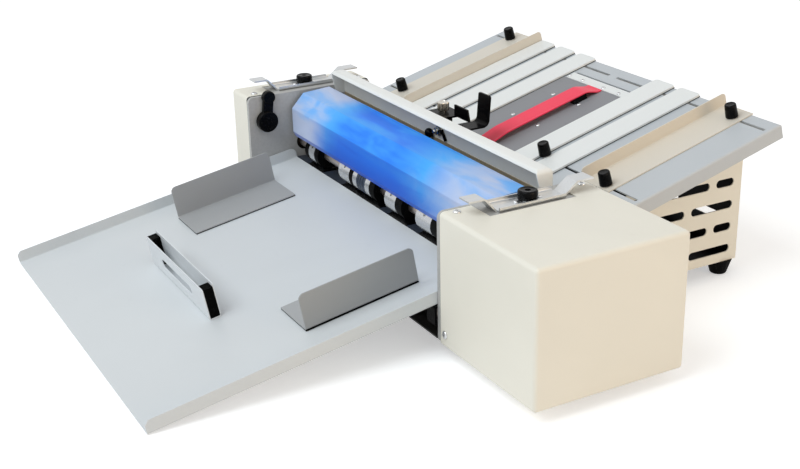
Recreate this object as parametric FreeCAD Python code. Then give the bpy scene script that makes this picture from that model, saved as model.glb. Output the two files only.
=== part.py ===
import FreeCAD, Part
import math
import os

V = FreeCAD.Vector

# Desktop paper creasing machine, all sizes in millimetres and degrees.
# X runs across the machine, positive towards the drive casing.
# Y runs against the paper, from the delivery tray to the rear edge of the feed table.
# Z is up, with the desk at 0. The origin is the middle of the footprint.
# Below, x is counted from the middle of the throat, and y from the front of the casings.

# Casings and side plates
throat_width = 547.0
casing_depth = 199.0
casing_height = 164.0
casing_lift = 15.3
drive_casing_width = 188.6
far_casing_width = 54.6
casing_wall = 2.0
casing_edge_radius = 5.0
notch_width = 40.0
notch_front = 41.0
notch_length = 117.0
vent_length = 60.0
vent_width = 5.0
vent_pitch = 14.0
vent_count = 7
plate_thickness = 6.0
plate_drop = 0.8
plate_corner_radius = 8.0
flange_width = 38.0
flange_margin = 1.5
flange_thickness = 4.0
lug_reach = 18.0
lug_width = 14.0
lug_depth = 10.0
casing_screw_offset = 10.2
casing_screw_front = 16.4
casing_screw_rear = 186.1
casing_screw_low = 32.4

# Rear base
foot_height = 20.5
foot_top_radius = 17.0
foot_bottom_radius = 10.5
foot_edge_radius = 3.0
foot_inset = 10.5
front_foot_y = 38.0
rear_foot_y = 436.0
panel_thickness = 2.0
panel_rear = 453.0
panel_lap = 45.0
panel_lap_height = 52.0
panel_gap = 0.5
slot_height = 11.0
slot_length = 68.0
slot_short_length = 29.0
slot_gap = 11.0
slot_row_pitch = 30.4
slot_first_row = 38.5
slot_margin = 13.0
slot_rows = 4
rear_slot_rows = 2
panel_notch_width = 22.0
panel_notch_depth = 12.0
rear_wall_gap = 12.0
pan_slot_width = 26.0
pan_slot_length = 150.0
pan_slot_pitch = 92.0
pan_slot_count = 4
tie_rod_radius = 6.0
tie_rod_head_radius = 9.0
tie_rod_head = 3.0
front_tie_y = 22.0
front_tie_z = 36.0
rear_tie_y = 140.0
rear_tie_z = 52.0

# Feed table, tilted about X, sizes along its slope counted from the casings' rear
table_tilt = 15.2
table_width = 618.0
table_length = 282.7
table_height = 136.7
table_sheet = 2.0
table_flange = 19.0
table_bend = 3.0
tongue_length = 42.0
tongue_side_gap = 5.5
table_front_gap = 3.0
guide_slot_width = 4.6
front_slot_at = 57.0
rear_slot_inset = 21.7
front_slot_inner = 66.0
rear_slot_inner = 8.0
guide_slot_outer = 303.0
bar_slot_gap = 4.0
bar_slot_length = 128.0
bar_slot_width = 3.0

# Feed plate, its end bar, the lifting ramp and the slats
feed_plate_width = 135.0
feed_plate_offset = 2.2
feed_plate_sheet = 1.2
feed_plate_rear_inset = 60.7
feed_plate_screw_offset = 30.0
feed_plate_row_shares = (0.4748, 0.7928)
end_bar_width = 15.0
end_bar_length = 129.0
end_bar_offset = 4.5
end_bar_screw_inset = 4.5
end_bar_thickness = 2.2
end_bar_screw_shares = (-0.477, -0.234, 0.136, 0.405)
ramp_width = 31.0
ramp_offset = 10.0
ramp_sheet = 1.5
ramp_lift = 8.0
ramp_front = 3.0
ramp_rear_inset = 1.0
ramp_end_run = 24.0
ramp_toe = 6.0
ramp_block_length = 22.0
ramp_block_width = 10.0
ramp_block_inset = 37.0
slat_thickness = 2.5
slat_magnet_thickness = 1.5
slat_magnet_inset = 1.0
slat_front = -12.0
slat_corner_radius = 5.0
slat_spans = ((-203.6, -169.2), (-157.0, -117.5), (-105.9, -66.4), (70.5, 110.0), (122.0, 161.5))

# Feed side guides and their thumbscrews
guide_sheet = 1.5
guide_bend = 1.5
right_guide_front = 48.0
left_guide_front = 29.0
guide_height = 18.5
guide_corner_radius = 5.0
right_guide_x = 209.7
right_guide_base = 50.0
right_guide_screw = 35.0
left_guide_x = 204.8
left_guide_base = 72.0
left_guide_screw = 58.0
thumb_height = 18.0
thumb_base_radius = 8.2
thumb_top_radius = 6.6
thumb_edge = 1.2
thumb_washer = 0.8
thumb_shank_radius = 2.0
thumb_nut_radius = 6.0
thumb_nut = 3.0
slat_screw_x = 117.0

# Cross beam over the throat
beam_front = 134.0
beam_rear = 157.0
beam_top = 201.0
beam_sheet = 2.0
beam_web_bottom = 160.0
beam_cheek_bottom = 165.0
beam_lip = 5.0
beam_edge_radius = 1.8

# Hinged cover, outline from the lower lip round to the rear flange
cover_end_gap = 6.5
cover_sheet = 1.5
cover_bend = 1.5
cover_lip_y = 69.0
cover_lip_z = 112.6
cover_face_y = 65.6
cover_face_bottom = 119.7
cover_face_top = 155.4
cover_slope_y = 84.8
cover_slope_z = 175.8
cover_back_y = 129.6
cover_back_z = 179.1
cover_back_bottom = 165.0
hinge_y = 122.0
hinge_z = 172.0
hinge_pin_radius = 3.0

# Shafts, rollers and gears
shaft_radius = 8.0
shaft_y = 86.0
nip_z = 81.5
nip_gap = 0.6
gear_module = 2.0
gear_teeth = 19
gear_pressure_angle = 20.0
gear_backlash = 0.35
gear_tip_cut = 0.3
gear_root_share = 1.25
gear_flank_steps = 3
gear_width = 9.0
gear_hub_gap = 4.0
bearing_radius = 12.5
bearing_flange_radius = 14.2
bearing_flange = 1.5
running_gap = 0.05
roller_groove = 1.2
crease_ribs = 4

# Rollers along the upper shaft: kind, left face and right face from the throat's middle
upper_roller_spans = (
    ("ring", -226.0, -214.0), ("collar", -214.0, -196.0), ("ring", -196.0, -184.0),
    ("collar", -117.0, -86.0), ("ring", -86.0, -75.0), ("collar", -75.0, -64.0),
    ("crease", -64.0, -39.0), ("collar", -39.0, -27.0), ("ring", -27.0, -13.0),
    ("collar", 17.0, 45.0), ("ring", 45.0, 62.0), ("collar", 99.0, 136.0),
    ("ring", 136.0, 152.0), ("ring", 214.0, 226.0),
)
lower_roller_spans = (
    (-228.0, -182.0), (-119.0, -64.5), (-38.5, -11.0), (15.0, 64.0), (97.0, 154.0), (212.0, 228.0),
)
die_span = (-64.0, -39.0)

# Paper guides between the shafts
comb_sheet = 1.5
comb_front = 73.0
comb_rear = 107.0
comb_finger_root = 99.5
comb_side_gap = 2.0
infeed_sheet = 1.5
infeed_top_y = 160.0
infeed_top_z = 122.8
infeed_low_y = 109.0
infeed_low_z = 84.0
guide_end_gap = 4.0
upper_guide_sheet = 1.2
upper_guide_top_z = 174.0
upper_guide_low_y = 114.0
upper_guide_low_z = 116.0
upper_guide_slot_length = 34.0
upper_guide_slot_pitch = 62.0
upper_guide_slot_count = 7
upper_guide_slot_shares = (0.55, 0.8)

# Feed roller under the separator
feed_roller_radius = 25.0
feed_roller_width = 40.0
feed_roller_at = -24.0
feed_roller_proud = 1.0
feed_window_gap = 2.5

# Paper separator behind the beam
separator_sheet = 2.5
separator_left = -42.0
separator_right = 1.0
separator_back_right = 38.0
separator_rear_y = 202.0
separator_plate_z = 188.0
separator_back_plate_bottom = 168.0
separator_fin_left = -7.0
separator_fin_right = 28.0
separator_fin_y = 190.0
separator_fin_top = 203.5
separator_leg_left = -18.0
separator_leg_right = -2.0
separator_leg_front = 170.0
separator_leg_depth = 14.0
pad_gap = 0.4
lever_left = 4.0
lever_width = 28.0
lever_sheet = 2.5
lever_z = 177.0
lever_rear_y = 224.0
lever_top_z = 219.0
lever_bend = 4.0
lever_corner_radius = 3.0
lever_pivot_y = 164.6
lever_eye_radius = 4.5
lever_pin_radius = 2.0
lever_ear_gap = 0.5
lever_ear_thickness = 2.0
knurl_x = -24.0
knurl_y = 183.0
knurl_radius = 8.0
knurl_height = 12.0
knurl_collar = 2.0
knurl_collar_radius = 6.0
knurl_flutes = 16
knurl_flute_radius = 0.9
knurl_shank_radius = 3.0
knurl_shank_length = 12.0

# Top channels over the side plates and their knobs
channel_offset = 6.0
channel_width = 31.0
channel_sheet = 2.0
channel_lip = 6.0
channel_front = 54.0
channel_rear = 147.0
channel_bend = 1.5
channel_tab_width = 21.0
front_tab_end = 19.0
front_tab_bend = 39.0
front_tab_z = 195.0
rear_tab_bend = 165.0
rear_tab_end = 187.0
rear_tab_z = 192.5
knob_y = 103.0
knob_radius = 11.8
knob_height = 11.0
knob_edge = 1.2
knob_washer_radius = 9.0
knob_washer = 1.2
knob_socket_radius = 4.0
knob_socket_depth = 6.0
knob_shank_radius = 4.0
knob_shank_length = 12.0
channel_screw_spread = 16.0

# Crank on the far side plate
crank_y = 26.0
crank_z = 141.6
crank_length = 35.6
crank_lean = 6.5
crank_hub_radius = 15.5
crank_hub_thickness = 10.0
crank_boss_radius = 9.5
crank_boss_thickness = 8.0
crank_arm_width = 15.0
crank_arm_thickness = 6.0
crank_edge = 1.5
crank_axle_radius = 5.0
crank_plate_gap = 0.3

# Delivery tray, sloping down to the front, sizes along its slope counted from its inner edge
tray_half_width = 266.8
tray_inner_y = 71.7
tray_inner_z = 77.9
tray_end_z = 1.7
tray_length = 429.5
tray_sheet = 1.5
tray_rail = 17.0
tray_bend = 1.5
tray_rail_chamfer = 5.0
tray_rail_round = 9.0
bracket_sheet = 3.0
bracket_width = 18.0
bracket_drop = 24.0
bracket_front = -4.0
bracket_rear = 55.0

# Delivery side guides and the end stop, on the tray
magnet_sheet = 1.2
delivery_sheet = 1.4
delivery_bend = 1.5
delivery_base = 70.0
delivery_height = 48.0
delivery_near = 62.5
delivery_length = 151.0
delivery_corner_radius = 7.0
right_delivery_x = 207.3
left_delivery_x = 210.3
stop_near = 273.5
stop_depth = 15.0
stop_length = 200.0
stop_offset = -5.0
stop_outer_height = 41.0
stop_inner_height = 45.0
stop_sheet = 1.2
stop_corner_radius = 3.0
stop_slot_length = 105.0
stop_slot_height = 12.0
stop_slot_centre = 21.0
stop_magnet_length = 16.0
stop_magnet_height = 39.0
slide_gap = 0.3

# Drive inside the casing
pulley_width = 12.0
pulley_gap = 4.0
lower_pulley_radius = 16.0
feed_pulley_radius = 11.5
motor_pulley_radius = 9.0
pulley_flange = 1.0
pulley_flange_lift = 2.5
belt_thickness = 1.8
belt_width = 9.0
belt_gap = 0.2
motor_y = 150.0
motor_z = 52.0
motor_radius = 30.0
motor_length = 96.0
motor_shaft_radius = 4.0
motor_plate_thickness = 5.0
motor_plate_half = 32.0
motor_post_radius = 4.0
motor_post_inset = 6.0
motor_plate_clearance = 5.0

# Power inlet and switch in the rear wall of the drive casing
inlet_x = 434.0
inlet_z = 70.0
inlet_width = 27.0
inlet_height = 47.0
inlet_flange = 2.0
inlet_flange_rim = 4.0
inlet_depth = 22.0
socket_width = 19.0
socket_height = 13.0
socket_depth = 15.0
socket_drop = 10.0
socket_corner_share = 0.25
rocker_width = 13.0
rocker_height = 12.0
rocker_rise = 12.0
rocker_pocket_depth = 9.0
rocker_thickness = 6.0
rocker_tilt = 7.0
rocker_gap = 0.7
rocker_pivot_depth = 4.0
rocker_pivot_radius = 1.5
rocker_pivot_reach = 1.5

# Fasteners
screw_head_radius = 4.8
screw_head_height = 2.4
screw_shank_radius = 2.0
screw_shank_length = 8.0
small_screw_radius = 3.2
small_screw_height = 1.6
small_shank_length = 3.0
screw_dome_share = 0.8

# How far cutters overrun, and how close two places are to count as one
overrun = 1.0
same_place = 0.001
same_point = 0.000001

# Places worked out from the sizes above
half_throat = throat_width / 2
plate_in = half_throat - plate_thickness
casing_top = casing_lift + casing_height
plate_top = casing_top - plate_drop
pan_top = foot_height + panel_thickness
panel_out = plate_in
panel_in = panel_out - panel_thickness
table_slope = math.radians(table_tilt)
tray_slope = math.asin((tray_inner_z - tray_end_z) / tray_length)
tray_tilt = math.degrees(tray_slope)
shaft_distance = gear_module * gear_teeth
roller_radius = (shaft_distance - nip_gap) / 2
upper_shaft_z = nip_z + shaft_distance / 2
lower_shaft_z = nip_z - shaft_distance / 2
slat_bottom = slat_magnet_thickness
slat_top = slat_magnet_thickness + slat_thickness
gear_left = half_throat + gear_hub_gap
pulley_left = gear_left + gear_width + pulley_gap
pulley_right = pulley_left + pulley_width
channel_left = half_throat + channel_offset
channel_right = channel_left + channel_width
knob_x = (channel_left + channel_right) / 2
channel_floor_top = plate_top + channel_sheet
cover_half_width = plate_in - cover_end_gap
rear_slot_at = table_length - rear_slot_inset
feed_plate_rear = table_length - feed_plate_rear_inset
bar_slot_at = feed_plate_rear + end_bar_width + bar_slot_gap
ramp_rear = feed_plate_rear - ramp_rear_inset
ramp_block_at = ramp_rear - ramp_block_inset
lever_pivot_z = lever_z + lever_sheet / 2
inlet_face = casing_depth + inlet_flange
socket_z = inlet_z - socket_drop
rocker_z = inlet_z + rocker_rise
rail_end = tray_rail - tray_sheet - tray_rail_chamfer
front_reach = tray_inner_y - tray_length * math.cos(tray_slope) - rail_end * math.sin(tray_slope)
rear_reach = casing_depth + table_length * math.cos(table_slope) + table_flange * math.sin(table_slope)
origin_x = (drive_casing_width - far_casing_width) / 2
origin_y = (front_reach + rear_reach) / 2


def block(x0, x1, y0, y1, z0, z1):
    return Part.makeBox(x1 - x0, y1 - y0, z1 - z0, V(x0, y0, z0))


def rod_x(x0, x1, y, z, radius):
    return Part.makeCylinder(radius, x1 - x0, V(x0, y, z), V(1, 0, 0))


def rod_y(x, y0, y1, z, radius):
    return Part.makeCylinder(radius, y1 - y0, V(x, y0, z), V(0, 1, 0))


def rod_z(x, y, z0, z1, radius):
    return Part.makeCylinder(radius, z1 - z0, V(x, y, z0), V(0, 0, 1))


def join(shapes):
    """One clean solid, or group of solids, from the shapes."""
    first = shapes[0]
    if len(shapes) > 1:
        first = first.fuse(shapes[1:])
    return first.removeSplitter()


def group(shapes):
    return Part.makeCompound(shapes)


def both_sides(shape):
    """The shape and its mirror image across the throat's middle."""
    return [shape, mirrored(shape)]


def mirrored(shape):
    return shape.mirror(V(0, 0, 0), V(1, 0, 0))


def tangent_corner(before, corner, after, radius):
    """Start, middle and end of the arc that rounds one corner of an outline."""
    to_before = (before - corner).normalize()
    to_after = (after - corner).normalize()
    half_angle = to_before.getAngle(to_after) / 2
    run = radius / math.tan(half_angle)
    centre_way = (to_before + to_after).normalize()
    centre = corner + centre_way * (radius / math.sin(half_angle))
    return corner + to_before * run, centre - centre_way * radius, corner + to_after * run


def rounded_face(points, radii):
    """Flat face with a closed outline, each corner rounded by its own radius, or sharp at 0."""
    starts = []
    ends = []
    arcs = []
    count = len(points)
    for i in range(count):
        corner = V(*points[i])
        if radii[i] > 0:
            before = V(*points[i - 1])
            after = V(*points[(i + 1) % count])
            first, middle, last = tangent_corner(before, corner, after, radii[i])
            arcs.append(Part.Arc(first, middle, last).toShape())
            starts.append(first)
            ends.append(last)
        else:
            arcs.append(None)
            starts.append(corner)
            ends.append(corner)
    edges = []
    for i in range(count):
        if arcs[i] is not None:
            edges.append(arcs[i])
        following = starts[(i + 1) % count]
        if ends[i].distanceToPoint(following) > same_point:
            edges.append(Part.LineSegment(ends[i], following).toShape())
    return Part.Face(Part.Wire(edges))


def prism_x(outline, x0, x1, radii=None):
    """Solid between x0 and x1 with a y, z outline."""
    points = [(x0, y, z) for y, z in outline]
    return rounded_face(points, radii or [0] * len(points)).extrude(V(x1 - x0, 0, 0))


def prism_y(outline, y0, y1, radii=None):
    """Solid between y0 and y1 with an x, z outline."""
    points = [(x, y0, z) for x, z in outline]
    return rounded_face(points, radii or [0] * len(points)).extrude(V(0, y1 - y0, 0))


def prism_z(outline, z0, z1, radii=None):
    """Solid between z0 and z1 with an x, y outline."""
    points = [(x, y, z0) for x, y in outline]
    return rounded_face(points, radii or [0] * len(points)).extrude(V(0, 0, z1 - z0))


def bent_outline(path, thickness, bend):
    """Outline and corner radii of a bent sheet: the path is one face, the sheet lies on its left."""
    other = []
    radii = [0]
    other_radii = [0]
    for i, point in enumerate(path):
        ways = []
        if i > 0:
            ways.append(unit_way(path[i - 1], point))
        if i < len(path) - 1:
            ways.append(unit_way(point, path[i + 1]))
        if len(ways) == 1:
            normal = (-ways[0][1], ways[0][0])
            other.append((point[0] + normal[0] * thickness, point[1] + normal[1] * thickness))
        else:
            across = (-ways[0][1] - ways[1][1], ways[0][0] + ways[1][0])
            scale = thickness / (1 + ways[0][0] * ways[1][0] + ways[0][1] * ways[1][1])
            other.append((point[0] + across[0] * scale, point[1] + across[1] * scale))
            turn = ways[0][0] * ways[1][1] - ways[0][1] * ways[1][0]
            inner_left = turn * thickness > 0
            radii.append(bend + abs(thickness) if inner_left else bend)
            other_radii.append(bend if inner_left else bend + abs(thickness))
    radii.append(0)
    other_radii.append(0)
    return path + other[::-1], radii + other_radii[::-1]


def unit_way(start, end):
    run = math.hypot(end[0] - start[0], end[1] - start[1])
    return (end[0] - start[0]) / run, (end[1] - start[1]) / run


def bent_sheet_x(path, thickness, bend, x0, x1):
    outline, radii = bent_outline(path, thickness, bend)
    return prism_x(outline, x0, x1, radii)


def bent_sheet_y(path, thickness, bend, y0, y1):
    outline, radii = bent_outline(path, thickness, bend)
    return prism_y(outline, y0, y1, radii)


def obround_x(x0, x1, y0, y1, z, height):
    """Slot cutter through a wall that faces along X, long along Y."""
    radius = height / 2
    corners = [(y0, z - radius), (y1, z - radius), (y1, z + radius), (y0, z + radius)]
    return prism_x(corners, x0, x1, [radius] * 4)


def obround_y(y0, y1, x0, x1, z, height):
    """Slot cutter through a wall that faces along Y, long along X."""
    radius = height / 2
    corners = [(x0, z - radius), (x1, z - radius), (x1, z + radius), (x0, z + radius)]
    return prism_y(corners, y0, y1, [radius] * 4)


def obround_z(z0, z1, x0, x1, y, width):
    """Slot cutter through a floor, long along X."""
    radius = width / 2
    corners = [(x0, y - radius), (x1, y - radius), (x1, y + radius), (x0, y + radius)]
    return prism_z(corners, z0, z1, [radius] * 4)


def edges_where(shape, test):
    return [edge for edge in shape.Edges if test(edge.CenterOfMass)]


def near(a, b):
    return abs(a - b) < same_place


def on_table(shape):
    """Tilt a shape, made flat with the table's top at 0, into the feed table's place."""
    placed = shape.copy()
    placed.rotate(V(0, 0, 0), V(1, 0, 0), table_tilt)
    placed.translate(V(0, casing_depth, table_height))
    return placed


def table_point(x, along, height):
    """Place of a point given along the feed table's slope and square to it."""
    y = casing_depth + along * math.cos(table_slope) - height * math.sin(table_slope)
    z = table_height + along * math.sin(table_slope) + height * math.cos(table_slope)
    return V(x, y, z)


def on_tray(shape):
    """Tilt a shape, made flat with the tray's floor at 0 and its inner edge at y 0, into place."""
    placed = shape.copy()
    placed.rotate(V(0, 0, 0), V(1, 0, 0), tray_tilt)
    placed.translate(V(0, tray_inner_y, tray_inner_z))
    return placed


def table_under(y):
    """Height of the feed table's underside."""
    return table_height + (y - casing_depth) * math.tan(table_slope) - table_sheet / math.cos(table_slope)


feed_shaft = table_point(0, feed_roller_at, feed_roller_proud - feed_roller_radius)


# Screws

def pan_screw(head_radius, head_height, shank_length):
    """Screw with a domed head, standing on z 0 with its shank below."""
    head = rod_z(0, 0, 0, head_height, head_radius)
    rim = edges_where(head, lambda c: near(c.z, head_height))
    head = head.makeFillet(head_height * screw_dome_share, rim)
    return join([head, rod_z(0, 0, -shank_length, 0, screw_shank_radius)])


def set_down(shape, place, tilt=0):
    """Copy of an upright shape, tilted about X and moved to its place."""
    copy = shape.copy()
    copy.rotate(V(0, 0, 0), V(1, 0, 0), tilt)
    copy.translate(place)
    return copy


# Side plates and casings

def shaft_places():
    return (
        (shaft_y, upper_shaft_z),
        (shaft_y, lower_shaft_z),
        (feed_shaft.y, feed_shaft.z),
    )


def top_screw_places():
    x = half_throat + casing_screw_offset
    return (V(x, casing_screw_front, casing_top), V(x, casing_screw_rear, casing_top))


def front_screw_place():
    return V(half_throat + casing_screw_offset, 0, casing_screw_low)


def side_plate():
    """Steel plate of the drive side, with its top flange and the casing's screw lugs."""
    corners = [(0, foot_height), (casing_depth, foot_height), (casing_depth, plate_top), (0, plate_top)]
    radii = [0, 0, plate_corner_radius, plate_corner_radius]
    plate = prism_x(corners, plate_in, half_throat, radii)
    flange_front = notch_front + flange_margin
    flange_rear = notch_front + notch_length - flange_margin
    flange = block(half_throat, half_throat + flange_width, flange_front, flange_rear,
                   plate_top - flange_thickness, plate_top)
    parts = [plate, flange]
    under_roof = casing_top - casing_wall
    for place in top_screw_places():
        y0 = place.y - lug_width / 2
        parts.append(block(half_throat, half_throat + lug_reach, y0, y0 + lug_width,
                           under_roof - lug_depth, under_roof))
    low = front_screw_place()
    z0 = low.z - lug_width / 2
    parts.append(block(half_throat, half_throat + lug_reach, casing_wall, casing_wall + lug_depth,
                       z0, z0 + lug_width))
    plate = join(parts)
    for y, z in shaft_places():
        plate = plate.cut(rod_x(plate_in - overrun, half_throat + overrun, y, z, bearing_radius))
    plate = plate.cut(rod_x(plate_in - overrun, half_throat + overrun, hinge_y, hinge_z,
                            hinge_pin_radius + running_gap))
    plate = plate.cut(rod_z(knob_x, knob_y, plate_top - flange_thickness - overrun, plate_top + overrun,
                            knob_shank_radius + running_gap))
    for place in top_screw_places():
        plate = plate.cut(rod_z(place.x, place.y, place.z - screw_shank_length, place.z, screw_shank_radius))
    plate = plate.cut(rod_y(low.x, low.y, low.y + screw_shank_length, low.z, screw_shank_radius))
    for y in (knob_y - channel_screw_spread, knob_y + channel_screw_spread):
        plate = plate.cut(rod_z(knob_x, y, channel_floor_top - small_shank_length, channel_floor_top,
                                screw_shank_radius))
    return plate


def far_side_plate():
    """Mirror image of the drive side's plate, with a hole for the crank's axle."""
    hole = rod_x(-half_throat - overrun, -plate_in + overrun, crank_y, crank_z,
                 crank_axle_radius + running_gap)
    return mirrored(side_plate()).cut(hole)


def casing_shell(width):
    """Sheet casing that stands against a side plate, open to it, with a notch for the top channel."""
    outer = block(half_throat, half_throat + width, 0, casing_depth, casing_lift, casing_top)
    rim = edges_where(outer, lambda c: not near(c.x, half_throat))
    outer = outer.makeFillet(casing_edge_radius, rim)
    inner = block(half_throat - overrun, half_throat + width - casing_wall, casing_wall,
                  casing_depth - casing_wall, casing_lift + casing_wall, casing_top - casing_wall)
    rim = edges_where(inner, lambda c: not near(c.x, half_throat - overrun))
    inner = inner.makeFillet(casing_edge_radius - casing_wall, rim)
    shell = outer.cut(inner)
    notch = block(half_throat - overrun, half_throat + notch_width, notch_front, notch_front + notch_length,
                  casing_top - casing_wall - overrun, casing_top + overrun)
    shell = shell.cut(notch)
    for place in top_screw_places():
        shell = shell.cut(rod_z(place.x, place.y, place.z - screw_shank_length, place.z + overrun,
                                screw_shank_radius))
    low = front_screw_place()
    return shell.cut(rod_y(low.x, low.y - overrun, low.y + screw_shank_length, low.z, screw_shank_radius))


def drive_casing():
    """Casing over the motor and gears, with vents in its floor and the power inlet's cut-out."""
    shell = casing_shell(drive_casing_width)
    first = half_throat + drive_casing_width / 2 - (vent_count - 1) * vent_pitch / 2
    vents = []
    for i in range(vent_count):
        x = first + i * vent_pitch
        y = casing_depth / 2
        vents.append(block(x - vent_width / 2, x + vent_width / 2, y - vent_length / 2, y + vent_length / 2,
                           casing_lift - overrun, casing_lift + casing_wall + overrun))
    hole = block(inlet_x - inlet_width / 2, inlet_x + inlet_width / 2, casing_depth - casing_wall - overrun,
                 casing_depth + overrun, inlet_z - inlet_height / 2, inlet_z + inlet_height / 2)
    return shell.cut(vents + [hole])


def far_casing():
    return mirrored(casing_shell(far_casing_width))


def machine_screws():
    """Screws of both casings, the top channels, the feed plate and its end bar."""
    pan = pan_screw(screw_head_radius, screw_head_height, screw_shank_length)
    small = pan_screw(small_screw_radius, small_screw_height, small_shank_length)
    screws = [set_down(pan, place) for place in top_screw_places()]
    screws.append(set_down(pan, front_screw_place(), 90))
    for y in (knob_y - channel_screw_spread, knob_y + channel_screw_spread):
        screws.append(set_down(small, V(knob_x, y, channel_floor_top)))
    paired = [screw for one in screws for screw in both_sides(one)]
    plate = [on_table(set_down(small, V(x, along, top))) for x, along, top in plate_screw_places()]
    return group(paired + plate)


def plate_screw_places():
    places = []
    for share in feed_plate_row_shares:
        for side in (-1, 1):
            places.append((side * feed_plate_screw_offset, share * feed_plate_rear, feed_plate_sheet))
    for share in end_bar_screw_shares:
        places.append((end_bar_offset + share * end_bar_length, feed_plate_rear + end_bar_screw_inset,
                       end_bar_thickness))
    return places


# Rear base and feet

def rubber_feet():
    """Four tapered rubber feet under the base pan."""
    cone = Part.makeCone(foot_bottom_radius, foot_top_radius, foot_height)
    rim = edges_where(cone, lambda c: near(c.z, 0))
    cone = cone.makeFillet(foot_edge_radius, rim)
    x = panel_in - foot_inset
    feet = []
    for y in (front_foot_y, rear_foot_y):
        feet = feet + both_sides(set_down(cone, V(x, y, 0)))
    return group(feet)


def panel_slots(x0, x1):
    """Slot cutters of a side panel: rows in a brick pattern, even rows from a long slot."""
    cutters = []
    pitch = slot_length + slot_gap
    for row in range(slot_rows):
        z = slot_first_row + row * slot_row_pitch
        rear = panel_rear - slot_margin
        first = slot_length if row % 2 == 0 else slot_short_length
        cutters.append(obround_x(x0, x1, rear - first, rear, z, slot_height))
        rear = rear - first - slot_gap
        while rear - slot_length > casing_depth and table_under(rear - slot_length) > z + slot_height:
            cutters.append(obround_x(x0, x1, rear - slot_length, rear, z, slot_height))
            rear = rear - pitch
    return cutters


def side_panels():
    """Slotted panels that carry the feed table, with notches that let its guide screws pass."""
    behind = casing_depth + panel_gap
    lap_top = foot_height + panel_lap_height
    outline = [(casing_depth - panel_lap, foot_height), (panel_rear, foot_height),
               (panel_rear, table_under(panel_rear)), (behind, table_under(behind)),
               (behind, lap_top), (casing_depth - panel_lap, lap_top)]
    panel = prism_x(outline, panel_in, panel_out)
    x0 = panel_in - overrun
    x1 = panel_out + overrun
    cutters = panel_slots(x0, x1)
    for along in (front_slot_at, rear_slot_at):
        reach = panel_notch_width / 2
        cutters.append(on_table(block(x0, x1, along - reach, along + reach, -panel_notch_depth, 0)))
    panel = panel.cut(cutters)
    return group(both_sides(panel))


def base_tray():
    """Floor sheet of the base with long air slots, turned up at the rear as a slotted rear wall."""
    front = panel_rear - panel_thickness
    wall = block(-panel_in, panel_in, front, panel_rear, foot_height, table_under(front) - rear_wall_gap)
    pan = block(-panel_in, panel_in, 0, front, foot_height, pan_top)
    tray = join([wall, pan])
    pitch = slot_length + slot_gap
    per_row = int(2 * (panel_in - slot_margin) / pitch)
    start = -(per_row * pitch - slot_gap) / 2
    cutters = []
    for row in range(rear_slot_rows):
        z = slot_first_row + (2 * row + 1) * slot_row_pitch
        for i in range(per_row):
            x = start + i * pitch
            cutters.append(obround_y(front - overrun, panel_rear + overrun, x, x + slot_length,
                                     z, slot_height))
    first = (casing_depth + panel_rear) / 2 - (pan_slot_count - 1) * pan_slot_width
    for i in range(pan_slot_count):
        y = first + i * 2 * pan_slot_width
        for x in (-pan_slot_pitch, pan_slot_pitch):
            cutters.append(obround_z(foot_height - overrun, pan_top + overrun, x - pan_slot_length / 2,
                                     x + pan_slot_length / 2, y, pan_slot_width))
    return tray.cut(cutters)


def tie_rods():
    """Round bars between the side plates, with shoulders inside and a head on each end."""
    rods = []
    for y, z in ((front_tie_y, front_tie_z), (rear_tie_y, rear_tie_z)):
        rods.append(join([
            rod_x(-plate_in, plate_in, y, z, tie_rod_radius),
            rod_x(-plate_in, -plate_in + tie_rod_head, y, z, tie_rod_head_radius),
            rod_x(plate_in - tie_rod_head, plate_in, y, z, tie_rod_head_radius),
        ]))
    return group(rods)


# Cross beam

def cross_beam():
    """Bent sheet beam, open to the front, with a tall rear web and a cheek at each end."""
    roof = block(-plate_in, plate_in, beam_front, beam_rear, beam_top - beam_sheet, beam_top)
    web = block(-plate_in, plate_in, beam_rear - beam_sheet, beam_rear, beam_web_bottom, beam_top)
    lip = block(-plate_in, plate_in, beam_front, beam_front + beam_sheet, beam_top - beam_lip, beam_top)
    outline = [(beam_front, beam_cheek_bottom), (beam_rear, beam_cheek_bottom),
               (beam_rear, beam_top), (beam_front, beam_top)]
    cheek = prism_x(outline, plate_in - beam_sheet, plate_in)
    beam = join([roof, web, lip] + both_sides(cheek))
    long_edges = edges_where(beam, lambda c: near(c.x, 0) and near(c.z, beam_top))
    return beam.makeFillet(beam_edge_radius, long_edges)


# Feed table and what lies on it

def feed_table():
    """Sheet table with down-turned flanges, guide slots and the feed roller's window."""
    half = table_width / 2
    front = table_front_gap
    plate = block(-half, half, front, table_length, -table_sheet, 0)
    tongue_half = plate_in - tongue_side_gap
    tongue = block(-tongue_half, tongue_half, -tongue_length, front, -table_sheet, 0)
    rear = block(-half, half, table_length - table_sheet, table_length, -table_flange, 0)
    side = block(half - table_sheet, half, front, table_length, -table_flange, 0)
    table = join([plate, tongue, rear] + both_sides(side))
    bends = edges_where(table, lambda c: near(c.z, 0) and (near(abs(c.x), half) or near(c.y, table_length)))
    table = table.makeFillet(table_bend, bends)
    cutters = []
    for side in (-1, 1):
        for along, inner in ((front_slot_at, front_slot_inner), (rear_slot_at, rear_slot_inner)):
            ends = sorted((side * inner, side * guide_slot_outer))
            cutters.append(obround_z(-table_sheet - overrun, overrun, ends[0], ends[1],
                                     along, guide_slot_width))
    bar_left = end_bar_offset - bar_slot_length / 2
    cutters.append(obround_z(-table_sheet - overrun, overrun, bar_left, bar_left + bar_slot_length,
                             bar_slot_at, bar_slot_width))
    cutters.append(feed_window())
    for x, along, top in plate_screw_places():
        cutters.append(rod_z(x, along, -table_sheet - overrun, top, screw_shank_radius))
    return on_table(table.cut(cutters))


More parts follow.
